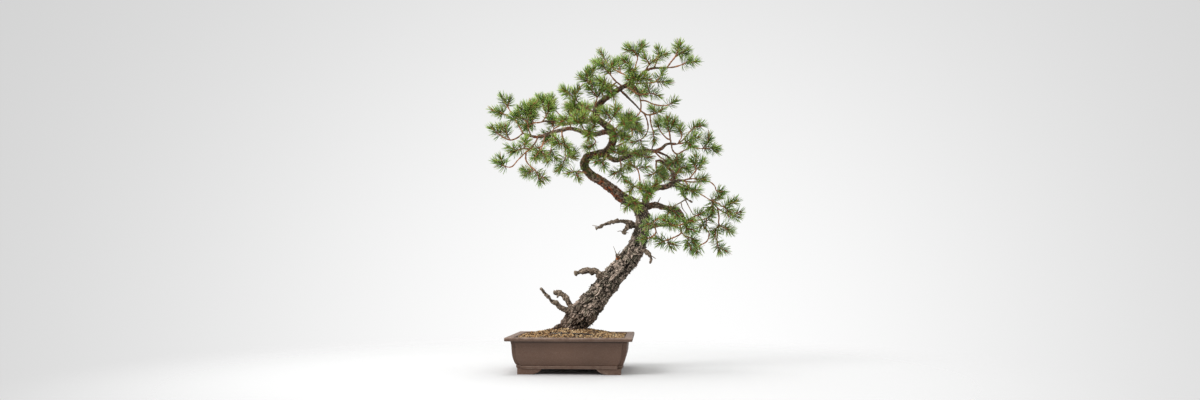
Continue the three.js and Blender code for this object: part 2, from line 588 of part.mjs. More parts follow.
// A stem is a three-sided rod whose rings turn by a sixth from one to the next, so that six facets lie round
// each band between two rings. A facet drawn out to a point is a needle, and one drawn out to a rod is a side
// stem.
class Stem {
  constructor(points, fork) {
    this.points = points;
    this.fork = fork; // the number of the point that the side shoots leave from
    this.children = []; // side stems, each with its place along this one
    this.needles = [];
  }

  get curve() {
    return new THREE.CatmullRomCurve3(this.points, false, "centripetal");
  }

  get forkAt() {
    return this.fork / (this.points.length - 1);
  }

  // How far apart two places along the stem are, in millimetres.
  span(from, to) {
    const curve = this.curve;
    const steps = [0, 0.25, 0.5, 0.75, 1].map((s) => curve.getPoint(lerp(from, to, s)));
    return steps.slice(1).reduce((sum, p, i) => sum + p.distanceTo(steps[i]), 0);
  }

  nearest(point) {
    const curve = this.curve;
    const places = Array.from({ length: 61 }, (_, i) => (i / 60) * this.forkAt);
    const gaps = places.map((t) => curve.getPoint(t).distanceTo(point));
    const best = gaps.indexOf(Math.min(...gaps));
    return { at: places[best], gap: gaps[best] };
  }

  // Side stems that leave close to each other leave from the same band.
  bear(child, at) {
    const near = this.children.find((other) => this.span(other.at, at) < 2.5 * STEM.band);
    this.children.push({ child, at: near ? near.at : at });
  }

  // Where the rings are: at each point up to the fork, on both sides of each side stem, and by the needles.
  ringPlaces() {
    const last = this.points.length - 1;
    const forks = [...new Set(this.children.map(({ at }) => at))];
    const pairs = forks.flatMap((at) => {
      const from = Math.max(0, at - 0.01);
      const half = (0.5 * STEM.band * 0.02) / this.span(from, from + 0.02);
      return [Math.max(0.004, at - half), at + half];
    });
    const long = this.span(this.forkAt, 1);
    this.firstAt = lerp(1, this.forkAt, Math.min(NEEDLE.zone, long * NEEDLE.share) / long);
    const plain = Array.from({ length: this.fork + 1 }, (_, i) => i / last).filter((t) =>
      t === 0 || pairs.every((other) => this.span(t, other) > STEM.band));
    this.at = [...plain, ...pairs].sort((a, b) => a - b);
    this.zoneBand = this.at.length;
    for (let i = 0; i <= NEEDLE.bands; i++) this.at.push(lerp(this.firstAt, 1, i / NEEDLE.bands));
  }

  // Rings follow on from the facet that the stem leaves from, or start with a ring of their own.
  layRings(facet) {
    if (facet) this.points[0] = middleOf(facet);
    this.ringPlaces();
    const curve = this.curve;
    let out = facet ? facet[0].clone().sub(this.points[0]) : new THREE.Vector3(0.3, 1, 0.2);
    this.rings = this.at.map((t, ring) => {
      if (ring === 0 && facet) return facet;
      const tangent = curve.getTangent(t);
      out = out.clone().addScaledVector(tangent, -out.dot(tangent)).normalize();
      const first = out.clone().applyAxisAngle(tangent, (ring * Math.PI) / 3);
      const middle = curve.getPoint(t);
      const radius = lerp(facet ? STEM.side : STEM.foot, STEM.tip, t);
      return [0, 1, 2].map((corner) => {
        const way = first.clone().applyAxisAngle(tangent, (corner * 2 * Math.PI) / 3);
        return middle.clone().addScaledVector(way, radius);
      });
    });
    const end = curve.getPoint(1).addScaledVector(curve.getTangent(1), STEM.bud);
    this.rings.push([end, end, end]);
    this.closed = facet ? [] : [[2, 1, 0].map((corner) => this.rings[0][corner])];
    this.children.forEach((side) => this.layChild(side));
  }

  // A side stem leaves from the free facet that faces its way best.
  layChild(side) {
    const { child, at } = side;
    const band = this.at.findIndex((t) => t > at) - 1;
    const middle = this.curve.getPoint(at);
    const way = child.points[1].clone().sub(middle).normalize();
    const taken = this.children.filter((other) => other.band === band).map((other) => other.slot);
    const facing = this.facets(band).map((facet, slot) =>
      taken.includes(slot) ? -2 : middleOf(facet).sub(middle).normalize().dot(way));
    side.band = band;
    side.slot = facing.indexOf(Math.max(...facing));
    child.layRings(this.facets(band)[side.slot]);
  }

  // The six facets of a band, in order round the rod.
  facets(band) {
    const [a, b] = [this.rings[band], this.rings[band + 1]];
    return [0, 1, 2].flatMap((i) => {
      const next = (i + 1) % 3;
      return [[a[i], a[next], b[i]], [a[next], b[next], b[i]]];
    });
  }

  // The stem's rod between two places along it, in straight stretches.
  rods(from, to) {
    const stretch = { getPoint: (t) => this.curve.getPoint(lerp(from, to, t)) };
    return stretches(stretch, 6, () => STEM.side);
  }

  // A needle that leaves the given facet. Its share is how far along the needles' zone it stands.
  aim(share, band, slot, random) {
    const t = lerp(this.firstAt, 1, share);
    const tangent = this.curve.getTangent(t);
    const root = middleOf(this.facets(band)[slot]);
    const out = root.clone().sub(this.curve.getPoint(t));
    out.addScaledVector(tangent, -out.dot(tangent)).normalize();
    out.applyAxisAngle(tangent, radians(lerp(-NEEDLE.aside, NEEDLE.aside, random())));
    const stray = lerp(-NEEDLE.stray, NEEDLE.stray, random());
    const steep = radians(lerp(NEEDLE.steepAtFoot, NEEDLE.steepAtTip, share) + stray);
    const way = tangent.clone().multiplyScalar(Math.cos(steep)).addScaledVector(out, Math.sin(steep));
    const long = NEEDLE.length * lerp(NEEDLE.shortest, NEEDLE.longest, random());
    return { from: root, to: root.clone().addScaledVector(way, long), radius: NEEDLE.root, band, slot };
  }

  // Needles stand round the outer stretch by the golden angle, and lie closer to the shoot towards its tip.
  // One that would touch something else takes the next facet, or is left out.
  grow(random, obstacles) {
    const isClear = (needle) =>
      obstacles.every((o) => distance(needle, o) > o.radius + NEEDLE.root + NEEDLE.clear);
    for (let i = 0; i < NEEDLE.perTuft; i++) {
      const share = (i + 0.5) / NEEDLE.perTuft;
      const band = this.zoneBand + Math.floor(share * NEEDLE.bands);
      const turned = Math.round((i * GOLDEN_ANGLE) / (Math.PI / 3));
      const needle = [0, -1, 1, -2, 2, 3]
        .map((turn) => (turned + turn + 6) % 6)
        .filter((slot) => !this.needles.some((n) => n.band === band && n.slot === slot))
        .map((slot) => this.aim(share, band, slot, random))
        .find(isClear);
      if (needle) this.needles.push(needle);
    }
  }

  // All the stem's triangles, and those of its side stems.
  triangles() {
    const made = [...this.closed];
    for (let band = 0; band < this.rings.length - 1; band++) {
      this.facets(band).forEach(([a, b, c], slot) => {
        const needle = this.needles.find((n) => n.band === band && n.slot === slot);
        const isFork = this.children.some((side) => side.band === band && side.slot === slot);
        if (needle) made.push([a, b, needle.to], [b, c, needle.to], [c, a, needle.to]);
        else if (!isFork && b !== c) made.push([a, b, c]);
      });
    }
    return [...made, ...this.children.flatMap(({ child }) => child.triangles())];
  }
}

const middleOf = (facet) => facet.reduce((sum, p) => sum.addScaledVector(p, 1 / 3), new THREE.Vector3());

// A shoot from a twig's last point to its tip. It sets off along the twig and then bends.
function shootPath(fork, way, tip) {
  const middle = fork.clone().lerp(tip, 0.5).addScaledVector(way, 0.1 * fork.distanceTo(tip));
  return [fork.clone(), middle, tip];
}

// The stems of one part: the twig runs on to the first of the ends, and the other ends leave its last point.
function partStems([twig, ends]) {
  const points = twig.map(place);
  const fork = points[points.length - 1];
  const way = fork.clone().sub(points[points.length - 2]).normalize();
  const paths = ends.map((tip) => shootPath(fork, way, place(tip)));
  const main = new Stem([...points.slice(0, -1), ...paths[0]], points.length - 1);
  const sides = paths.slice(1).map((path) => new Stem(path, 0));
  sides.forEach((side) => main.bear(side, main.forkAt));
  return [main, ...sides];
}

// A spray grows from its first part's twig, and the later parts leave the nearest twig before them.
function growSpray([name, parts]) {
  const grown = parts.map(partStems);
  const mains = grown.map(([main]) => main);
  mains.slice(1).forEach((main, i) => {
    const found = mains.slice(0, i + 1).map((other) => ({ other, ...other.nearest(main.points[0]) }));
    const { other, at } = found.reduce((best, next) => (next.gap < best.gap ? next : best));
    other.bear(main, at);
  });
  mains[0].layRings(null);
  return { name, stems: grown.flat(), root: mains[0] };
}

// The wood in straight stretches, a little thicker than its middle radius to cover the bark.
function woodStretches(wood) {
  return wood.flatMap(({ points, radii, steps }) => {
    const curve = new THREE.CatmullRomCurve3(points, false, "centripetal");
    const count = radii.length - 1;
    return stretches(curve, steps, (t) => {
      const i = Math.min(count - 1, Math.floor(t * count));
      return lerp(radii[i], radii[i + 1], t * count - i) * BARK.margin;
    });
  });
}

// Each spray keeps its needles off the wood and the other sprays, and is cut clear of the wood it grows from.
function sprayMeshes(wood, clearWood) {
  const sprays = SPRAYS.map(growSpray);
  const limbs = woodStretches(wood);
  sprays.forEach((spray, index) => {
    const random = draws(FIRST_SEED + index);
    const others = sprays.filter((other) => other !== spray).flatMap((other) => other.stems);
    spray.stems.forEach((stem) => {
      const siblings = spray.stems.filter((other) => other !== stem);
      stem.grow(random, [
        ...limbs,
        ...others.flatMap((other) => [...other.rods(0, 1), ...other.needles]),
        ...siblings.flatMap((other) => [...other.rods(other.forkAt, 1), ...other.needles]),
      ]);
    });
  });
  return sprays.map(({ name, root }) => {
    const made = solid(new THREE.BufferGeometry().setFromPoints(root.triangles().flat()));
    return meshOf(largest(made.subtract(clearWood)), "spray_" + name, COLOURS.needles);
  });
}

// ---- Pot ----------------------------------------------------------------------------------------
// A rectangle with a square step cut out of each corner, as a closed outline.
function notchedOutline(halfX, halfY, notch) {
  const corner = [
    [halfX, halfY - notch],
    [halfX - notch, halfY - notch],
    [halfX - notch, halfY],
  ];
  const points = [
    ...corner,
    ...corner.map(([x, y]) => [-x, y]).reverse(),
    ...corner.map(([x, y]) => [-x, -y]),
    ...corner.map(([x, y]) => [x, -y]).reverse(),
  ];
  return new THREE.Shape(points.map(([x, y]) => new THREE.Vector2(x, y)));
}

function roundedOutline(halfX, halfY, round) {
  const shape = new THREE.Shape();
  shape.absarc(halfX - round, halfY - round, round, 0, Math.PI / 2);
  shape.absarc(round - halfX, halfY - round, round, Math.PI / 2, Math.PI);
  shape.absarc(round - halfX, round - halfY, round, Math.PI, 1.5 * Math.PI);
  shape.absarc(halfX - round, round - halfY, round, 1.5 * Math.PI, 2 * Math.PI);
  return shape;
}

// A shape raised through the given heights; at each height its sides stand in by insetAt(height).
function raised(shape, heights, insetAt) {
  const steps = heights.length - 1;
  const block = new THREE.ExtrudeGeometry(shape, { depth: 1, steps, bevelEnabled: false, curveSegments: 3 });
  const points = block.attributes.position;
  for (let i = 0; i < points.count; i++) {
    const z = heights[Math.round(points.getZ(i) * steps)];
    const inset = insetAt(z);
    const [x, y] = [points.getX(i), points.getY(i)];
    points.setXYZ(i, x - Math.sign(x) * inset, y - Math.sign(y) * inset, z);
  }
  return solid(block);
}

const cavityInset = (z) =>
  z > POT.height - POT.rim.tall ? POT.rim.wide : Math.max(POT.rim.wide, along(HALF_WIDTH_IN, z) + POT.wall);

// The pot's inside, drawn in by the given gap and with its floor raised.
function cavitySolid(gap, above) {
  return raised(
    roundedOutline(POT.width / 2, POT.depth / 2, POT.inner),
    [POT.foot.tall + POT.floor + above, 28, 40, 55, 73, POT.height - POT.rim.tall, 1.5 * POT.height],
    (z) => cavityInset(z) + gap,
  );
}

// One leg of a foot: it stands on its heel and rises in a curve to its inner end.
function footLeg(long, thick) {
  const { tall, heel } = POT.foot;
  const side = new THREE.Shape();
  side.moveTo(0, 0);
  side.lineTo(long * heel, 0);
  side.quadraticCurveTo(long * 0.86, tall * 0.12, long, tall);
  side.lineTo(0, tall);
  side.closePath();
  const leg = new THREE.ExtrudeGeometry(side, { depth: thick, bevelEnabled: false, curveSegments: 5 });
  leg.rotateX(Math.PI / 2); // length along +X, height along +Z, thickness towards -Y
  return leg;
}

function feet() {
  const { alongX, alongY, thick, tall } = POT.foot;
  const inset = along(HALF_WIDTH_IN, tall) + POT.foot.in;
  const [cornerX, cornerY] = [POT.width / 2 - inset, POT.depth / 2 - inset];
  const made = [];
  for (const sx of [-1, 1]) {
    for (const sy of [-1, 1]) {
      const legX = footLeg(alongX, thick).translate(-cornerX, sy > 0 ? cornerY : thick - cornerY, 0);
      const legY = footLeg(alongY, thick)
        .rotateZ(Math.PI / 2)
        .translate(sx > 0 ? cornerX - thick : -cornerX, -cornerY, 0);
      const first = solid(legX);
      const second = solid(legY);
      made.push(sx > 0 ? first.mirror([1, 0, 0]) : first);
      made.push(sy > 0 ? second.mirror([0, 1, 0]) : second);
    }
  }
  return made;
}

function drainHole(x) {
  const hole = new THREE.CylinderGeometry(POT.drain.radius, POT.drain.radius, POT.height, 16);
  hole.rotateX(Math.PI / 2);
  hole.translate(x, 0, POT.height / 4);
  return solid(hole);
}

function potSolid() {
  const [halfX, halfY] = [POT.width / 2, POT.depth / 2];
  const rimFoot = POT.height - POT.rim.tall;
  const body = raised(
    notchedOutline(halfX, halfY, POT.notch),
    HALF_WIDTH_IN.map(([z]) => z),
    (z) => along(HALF_WIDTH_IN, z),
  );
  const [beltFoot, beltTop] = [POT.foot.tall, POT.foot.tall + POT.belt.tall];
  const belt = raised(
    notchedOutline(halfX, halfY, POT.notch),
    [beltFoot + POT.edge, beltFoot + 2 * POT.edge, beltTop - POT.edge, beltTop],
    (z) => along(HALF_WIDTH_IN, z) - (z === beltTop ? POT.belt.lip : POT.belt.proud),
  );
  const rim = raised(
    roundedOutline(halfX, halfY, POT.rim.round),
    [rimFoot, rimFoot + POT.edge, POT.height - POT.edge, POT.height],
    (z) => (z === rimFoot || z === POT.height ? POT.edge : 0),
  );
  const holes = [-1, 1].map((side) => drainHole((side * POT.drain.apart) / 2));
  return unite([body, belt, rim, ...feet()])
    .subtract(unite([cavitySolid(0, 0), ...holes]));
}

// A square plastic screen with slots, lying over a drain hole.
function screenSolid(x) {
  const { side, thick, bars, slot, pitch } = SCREEN;
  const level = POT.foot.tall + POT.floor + GAP + thick / 2;
  const plate = solid(new THREE.BoxGeometry(side, side, thick).translate(x, 0, level));
  const slots = [];
  for (let i = 0; i < bars; i++) {
    for (let j = 0; j < bars; j++) {
      const [cx, cy] = [i, j].map((k) => (k - (bars - 1) / 2) * pitch);
      slots.push(solid(new THREE.BoxGeometry(slot, slot, 3 * thick).translate(x + cx, cy, level)));
    }
  }
  return plate.subtract(unite(slots));
}

// ---- Soil ---------------------------------------------------------------------------------------
// The soil's top: a little under the rim at the edge, mounded round the trunk, with clods of grains about
// 31 mm apart, raised by two crossed waves that wander.
function soilTop(x, y, edge) {
  const foot = place(TRUNK[1]);
  const away = Math.hypot(x - foot.x, (y - foot.y) * 1.15);
  const mound = SOIL.mound * Math.exp(-((away / SOIL.reach) ** 2));
  const alongX = Math.sin(x * 0.2 + 1.1 * Math.sin(y * 0.13));
  const alongY = Math.sin(y * 0.21 + 1.3 * Math.sin(x * 0.11));
  return SOIL.edge + edge * (mound + SOIL.clod * alongX * alongY);
}

function soilSolid(cut) {
  const { cellsX, cellsY } = SOIL;
  const [halfX, halfY] = [POT.width / 2, POT.depth / 2];
  const relief = new THREE.BoxGeometry(POT.width, POT.depth, POT.height, cellsX, cellsY, 1);
  const points = relief.attributes.position;
  for (let i = 0; i < points.count; i++) {
    const [x, y] = [points.getX(i), points.getY(i)];
    const edge = Math.min(1, (halfX - Math.abs(x)) / SOIL.level, (halfY - Math.abs(y)) / SOIL.level);
    points.setZ(i, points.getZ(i) > 0 ? soilTop(x, y, edge) : 0);
  }
  return largest(solid(relief).intersect(cavitySolid(GAP, SOIL.under)).subtract(cut));
}

// The tie wire lies over the root ball in front of the trunk, and both its ends go down into the soil. Each
// of its points is [x, y, height over the soil's top].
function wireCurve() {
  const rise = (x, y, lift) => new THREE.Vector3(x, y, soilTop(x, y, 1) + lift);
  return new THREE.CatmullRomCurve3([
    rise(-66, -66, -22),
    rise(-60, -68, -4),
    rise(-50, -72, 1.4),
    rise(-24, -80, 2.4),
    rise(6, -84, 2.4),
    rise(38, -80, 2.2),
    rise(68, -72, 1.6),
    rise(88, -66, 0.4),
    rise(97, -63, -5),
    rise(100, -61, -22),
  ], false, "centripetal");
}

// ---- The whole ----------------------------------------------------------------------------------
const wood = woodPieces();
const clearWood = unite(wood.map((piece) => woodRod(piece, GAP)));
const wire = (grown) => bentRod(wireCurve(), () => WIRE.radius + grown, WIRE.sides, WIRE.steps);

const bonsai = new THREE.Group();
bonsai.add(
  meshOf(potSolid(), "pot", COLOURS.pot),
  meshOf(screenSolid(-POT.drain.apart / 2), "drain_screen_left", COLOURS.screen),
  meshOf(screenSolid(POT.drain.apart / 2), "drain_screen_right", COLOURS.screen),
  meshOf(soilSolid(unite([clearWood, wire(GAP)])), "soil", COLOURS.soil),
  meshOf(wire(0), "tie_wire", COLOURS.wire),
  meshOf(unite(wood.map((piece) => woodRod(piece))), "trunk", COLOURS.wood),
  ...sprayMeshes(wood, clearWood),
);

// The origin is under the middle of the whole plant, on the surface that the feet stand on.
const box = new THREE.Box3().setFromObject(bonsai);
bonsai.position.set(-(box.min.x + box.max.x) / 2, -(box.min.y + box.max.y) / 2, -box.min.z);

export default bonsai;
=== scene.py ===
"""A pine bonsai in a clay pot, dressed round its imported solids.

Shapes are worked out in millimetres from the middle of the pot's foot, and a mesh is put in its place in
metres when it is made. +Z is up, +X to the right and +Y away from the front view.
"""

import logging
import math
from dataclasses import dataclass, field
from enum import Enum, IntEnum
from typing import Sequence

import bpy
import numpy as np
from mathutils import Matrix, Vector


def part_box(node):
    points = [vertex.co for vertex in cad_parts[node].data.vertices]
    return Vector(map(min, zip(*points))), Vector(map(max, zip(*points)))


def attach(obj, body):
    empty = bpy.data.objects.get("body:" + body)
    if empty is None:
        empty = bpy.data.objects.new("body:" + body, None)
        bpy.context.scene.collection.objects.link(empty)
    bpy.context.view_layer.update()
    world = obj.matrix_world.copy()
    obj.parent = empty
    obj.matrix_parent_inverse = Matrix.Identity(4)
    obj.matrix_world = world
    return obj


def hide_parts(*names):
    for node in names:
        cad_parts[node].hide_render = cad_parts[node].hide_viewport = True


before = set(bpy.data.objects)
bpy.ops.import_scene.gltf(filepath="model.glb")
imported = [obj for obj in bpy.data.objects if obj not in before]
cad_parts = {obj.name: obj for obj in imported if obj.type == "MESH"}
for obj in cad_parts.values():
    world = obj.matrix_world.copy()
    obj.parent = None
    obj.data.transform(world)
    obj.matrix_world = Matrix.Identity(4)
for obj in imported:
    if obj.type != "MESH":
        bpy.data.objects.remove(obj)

LOG = logging.getLogger("bonsai")
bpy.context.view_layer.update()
LOW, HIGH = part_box("pot")
FOOT_MIDDLE = np.array([(LOW.x + HIGH.x) / 2, (LOW.y + HIGH.y) / 2, LOW.z])
METRES = 0.001
GOLDEN_ANGLE = math.pi * (3 - math.sqrt(5))
TINY = 1e-9
FINENESS = 24  # how many points of a smooth line are worked out for each point that it goes through
Array = np.ndarray
Line = Sequence[Sequence[float]]
Tint = tuple[int, int, int]  # a colour in screen units from 0 to 255
Random = np.random.Generator
Material = bpy.types.Material
Socket = bpy.types.NodeSocket
Hue = Tint | Socket
Stops = Sequence[tuple[float, Tint]]  # where each tint of a ramp stands, from 0 to 1

# The tree, read off the front view as (across, down, steps behind the middle of the pot).
TRUNK = (  # (across, down, steps behind the middle, radius)
    (569, 349, 0, 30), (571, 337, 0, 33), (575, 323, 0, 31), (585.5, 311, -2, 30.5), (595.5, 299, -4, 28.5),
    (604.6, 287, -4, 26.5), (613.8, 276, -2, 25.5), (622.6, 266, 0, 24.5), (630.6, 256, 3, 23.5),
    (636.3, 247, 4, 22), (639.5, 238, 4, 20), (642, 229, 3, 18.5), (643, 220, 2, 17), (641, 211, 0, 16),
    (634, 204, -4, 13.5), (623, 198, -9, 12.8), (612, 189, -13, 11.8), (601, 181, -14, 11),
    (590, 174, -8, 11), (584.5, 165, 0, 11.6), (588, 157, 8, 11), (597, 154.5, 13, 10.4),
    (607, 151.5, 14, 10.2), (612.5, 142, 11, 10), (612, 131, 4, 9.4), (604, 124, -5, 8.5),
    (596, 117, -11, 8), (596.5, 108, -14, 7.8), (603, 100.5, -16, 7.2), (612, 94, -19, 6.6),
    (622, 87.5, -23, 5.6), (632, 82, -25, 4.4),
)
LIMBS = (  # (name, first radius, last radius, points), each from inside what it grows from
    ("low_right", 8.5, 5, ((642, 210, 2), (650, 206, 10), (656, 205, 15), (662, 207, 20), (669, 208.5, 23),
     (676, 209.5, 25), (681, 213.5, 25), (684, 220, 22), (688, 228.5, 20))),
    ("low_front", 7, 3, ((643, 230, 0), (650, 227, -22), (658, 225, -38), (666, 225, -48),
     (673, 226, -54))),
    ("mid_right_foot", 12, 7, ((642, 214, 2), (645, 205, 4), (647, 196, 7), (652, 190, 10))),
    ("mid_right", 7, 6.5, ((649, 193, 9), (653, 189.3, 11), (659, 187.5, 13), (665, 187, 15),
     (670.5, 185, 15))),
    ("knob_out", 6, 3, ((667, 186.5, 15), (672, 183, 13), (677, 181, 9), (683, 180.3, 3))),
    ("knob_up", 4.4, 2.2, ((670, 185, 15), (674, 178, 18), (672.5, 172, 28), (668, 167.5, 36),
     (664, 163, 42), (660, 160.5, 46), (655.5, 161, 50))),
    ("upper_right", 7, 4.6, ((605, 153, 12), (610, 157.5, 15), (616, 160, 19), (623, 158.3, 24),
     (630, 155, 27), (637, 151.8, 25), (645, 150.6, 20), (652, 151, 15), (659, 151, 10))),
    ("upper_right_out", 4.4, 2.6, ((656, 151, 12), (661.5, 148.5, 8), (665.5, 144.8, 5), (670, 143.6, 1),
     (676, 144, -4))),
    ("upper_right_fall", 3.2, 2, ((656, 151, 12), (663, 154, 20), (668.5, 157, 28), (672.5, 162, 32),
     (676, 168, 33))),
    ("left", 7, 2.8, ((613, 133, 5), (605, 132, -5), (597, 134, -12), (588, 134, -15), (579, 130.5, -15),
     (570, 128.5, -12), (562, 130, -10), (553, 132, -8), (545, 135, -5), (538, 137, 0), (531, 136, 5),
     (525, 134, 7.5))),
    ("left_back", 6, 2.6, ((601, 121.5, -6), (592, 120, 10), (581, 121.5, 25), (571, 123, 34),
     (563, 124.5, 41), (556, 122.5, 45), (545, 121.2, 45))),
    ("crown_right", 4, 2.4, ((629, 83, -24), (638.5, 77, -20), (646, 70.5, -10), (653, 68.2, -5),
     (660, 68, 0), (665, 68, 2))),
    ("fall_a", 3, 1.9, ((619, 89, -22), (626, 95.5, -10), (631, 100.5, 0), (636.5, 106, 7),
     (641, 111, 11))),
    ("fall_b", 3.4, 2.4, ((630, 83, -24), (635, 87, -16), (638, 92, -11))),
)
STUBS = (  # dead stubs and roots, told the same way
    ("stub_low", 8, 3.2, ((579, 314, -2), (568, 311, -12), (561.5, 307.5, -14), (555.5, 303, -16),
     (549.5, 298.3, -18), (540.5, 288, -20))),
    ("stub_hook", 8, 5.4, ((577, 311, 2), (569.5, 304, 5), (566, 298, 7), (561, 293, 9), (554, 292.5, 10))),
    ("stub_hook_drop", 2.4, 1.8, ((561, 293.4, 9), (558.3, 295.2, 7), (557.2, 297.6, 6))),
    ("stub_middle", 8.5, 5.4, ((609, 281, -2), (601.5, 277, -10), (597, 272.5, -12), (590, 271, -14),
     (582, 271.5, -16), (575, 274, -18))),
    ("stub_high", 6, 3.2, ((642, 226, 0), (633, 224.5, -9), (626, 221.8, -13), (618, 221, -16),
     (608, 223.5, -19), (596, 228.7, -22))),
    ("stub_high_tip", 1.6, 0.7, ((603, 225.5, -20), (598, 226.3, -20), (592.5, 225.4, -19))),
    ("stub_crook", 6.4, 5, ((636, 225, -8), (629, 227, -15), (625, 230, -18), (623, 233, -20))),
    ("stub_crook_left", 1.4, 0.6, ((624, 231.5, -19), (620, 231, -22), (617.3, 231.5, -23))),
    ("stub_crook_right", 1.4, 0.6, ((623, 232, -20), (626, 232, -23), (628.5, 233, -24))),
    ("stub_bud", 5, 2.6, ((623, 262, 2), (617.5, 257.5, -12), (616.5, 253.8, -15))),
    ("stub_bud_left", 1.2, 0.6, ((616.8, 255.5, -14), (615, 250.5, -15), (613.5, 246.5, -15))),
    ("stub_bud_right", 1.4, 0.8, ((617, 256, -14), (618.6, 253, -16), (620.3, 250.5, -17))),
    ("stub_right", 6, 2.3, ((639, 248, 0), (646, 251.5, -12), (650, 255, -16), (651.3, 259, -18),
     (650, 263.5, -19))),
    ("stub_right_tip", 1.8, 0.8, ((649, 254.5, -15), (652.5, 256.5, -18), (655.8, 258.8, -19))),
    ("stub_under_bend", 3, 1, ((624, 200, -9), (621, 204.5, -12), (620.5, 209.5, -13))),
    ("stub_on_low_limb", 1.9, 0.8, ((656.5, 206, 15), (658.3, 201.5, 14), (660.5, 197.5, 13))),
    ("stub_on_upper_limb", 2, 1, ((651.5, 152, 15), (652.3, 147.5, 15), (653.3, 144, 15))),
    ("stub_dead_fork", 4, 1.2, ((671, 185, 13), (679.5, 187, 0), (682, 193, -8), (686, 198.3, -14),
     (692.5, 202.5, -18))),
    ("stub_dead_left", 2, 1.1, ((686.5, 198.8, -14), (680, 202.8, -21), (672.5, 206.8, -28))),
    ("stub_dead_middle", 1.6, 1, ((681, 202, -20), (682.3, 208, -24), (687, 214.5, -28))),
    ("stub_dead_right", 1.8, 1, ((685, 199, -14), (689, 207, -19), (693.5, 215, -22))),
    ("stub_base", 2.6, 1.5, ((583, 321, -6), (589, 323.3, -12), (593.2, 325, -14))),
    ("root_left", 12, 6, ((574, 327, 0), (564, 326.3, -6), (557, 328.5, -10), (550, 339, -14))),
    ("root_front", 12, 5, ((574, 328, -4), (572, 333, -24), (571, 343, -40))),
    ("root_right", 11, 4, ((578, 327, 0), (586, 331, -12), (593, 340, -22))),
    ("root_back", 12, 5, ((574, 327, 4), (577, 331, 26), (580, 340, 44))),
)
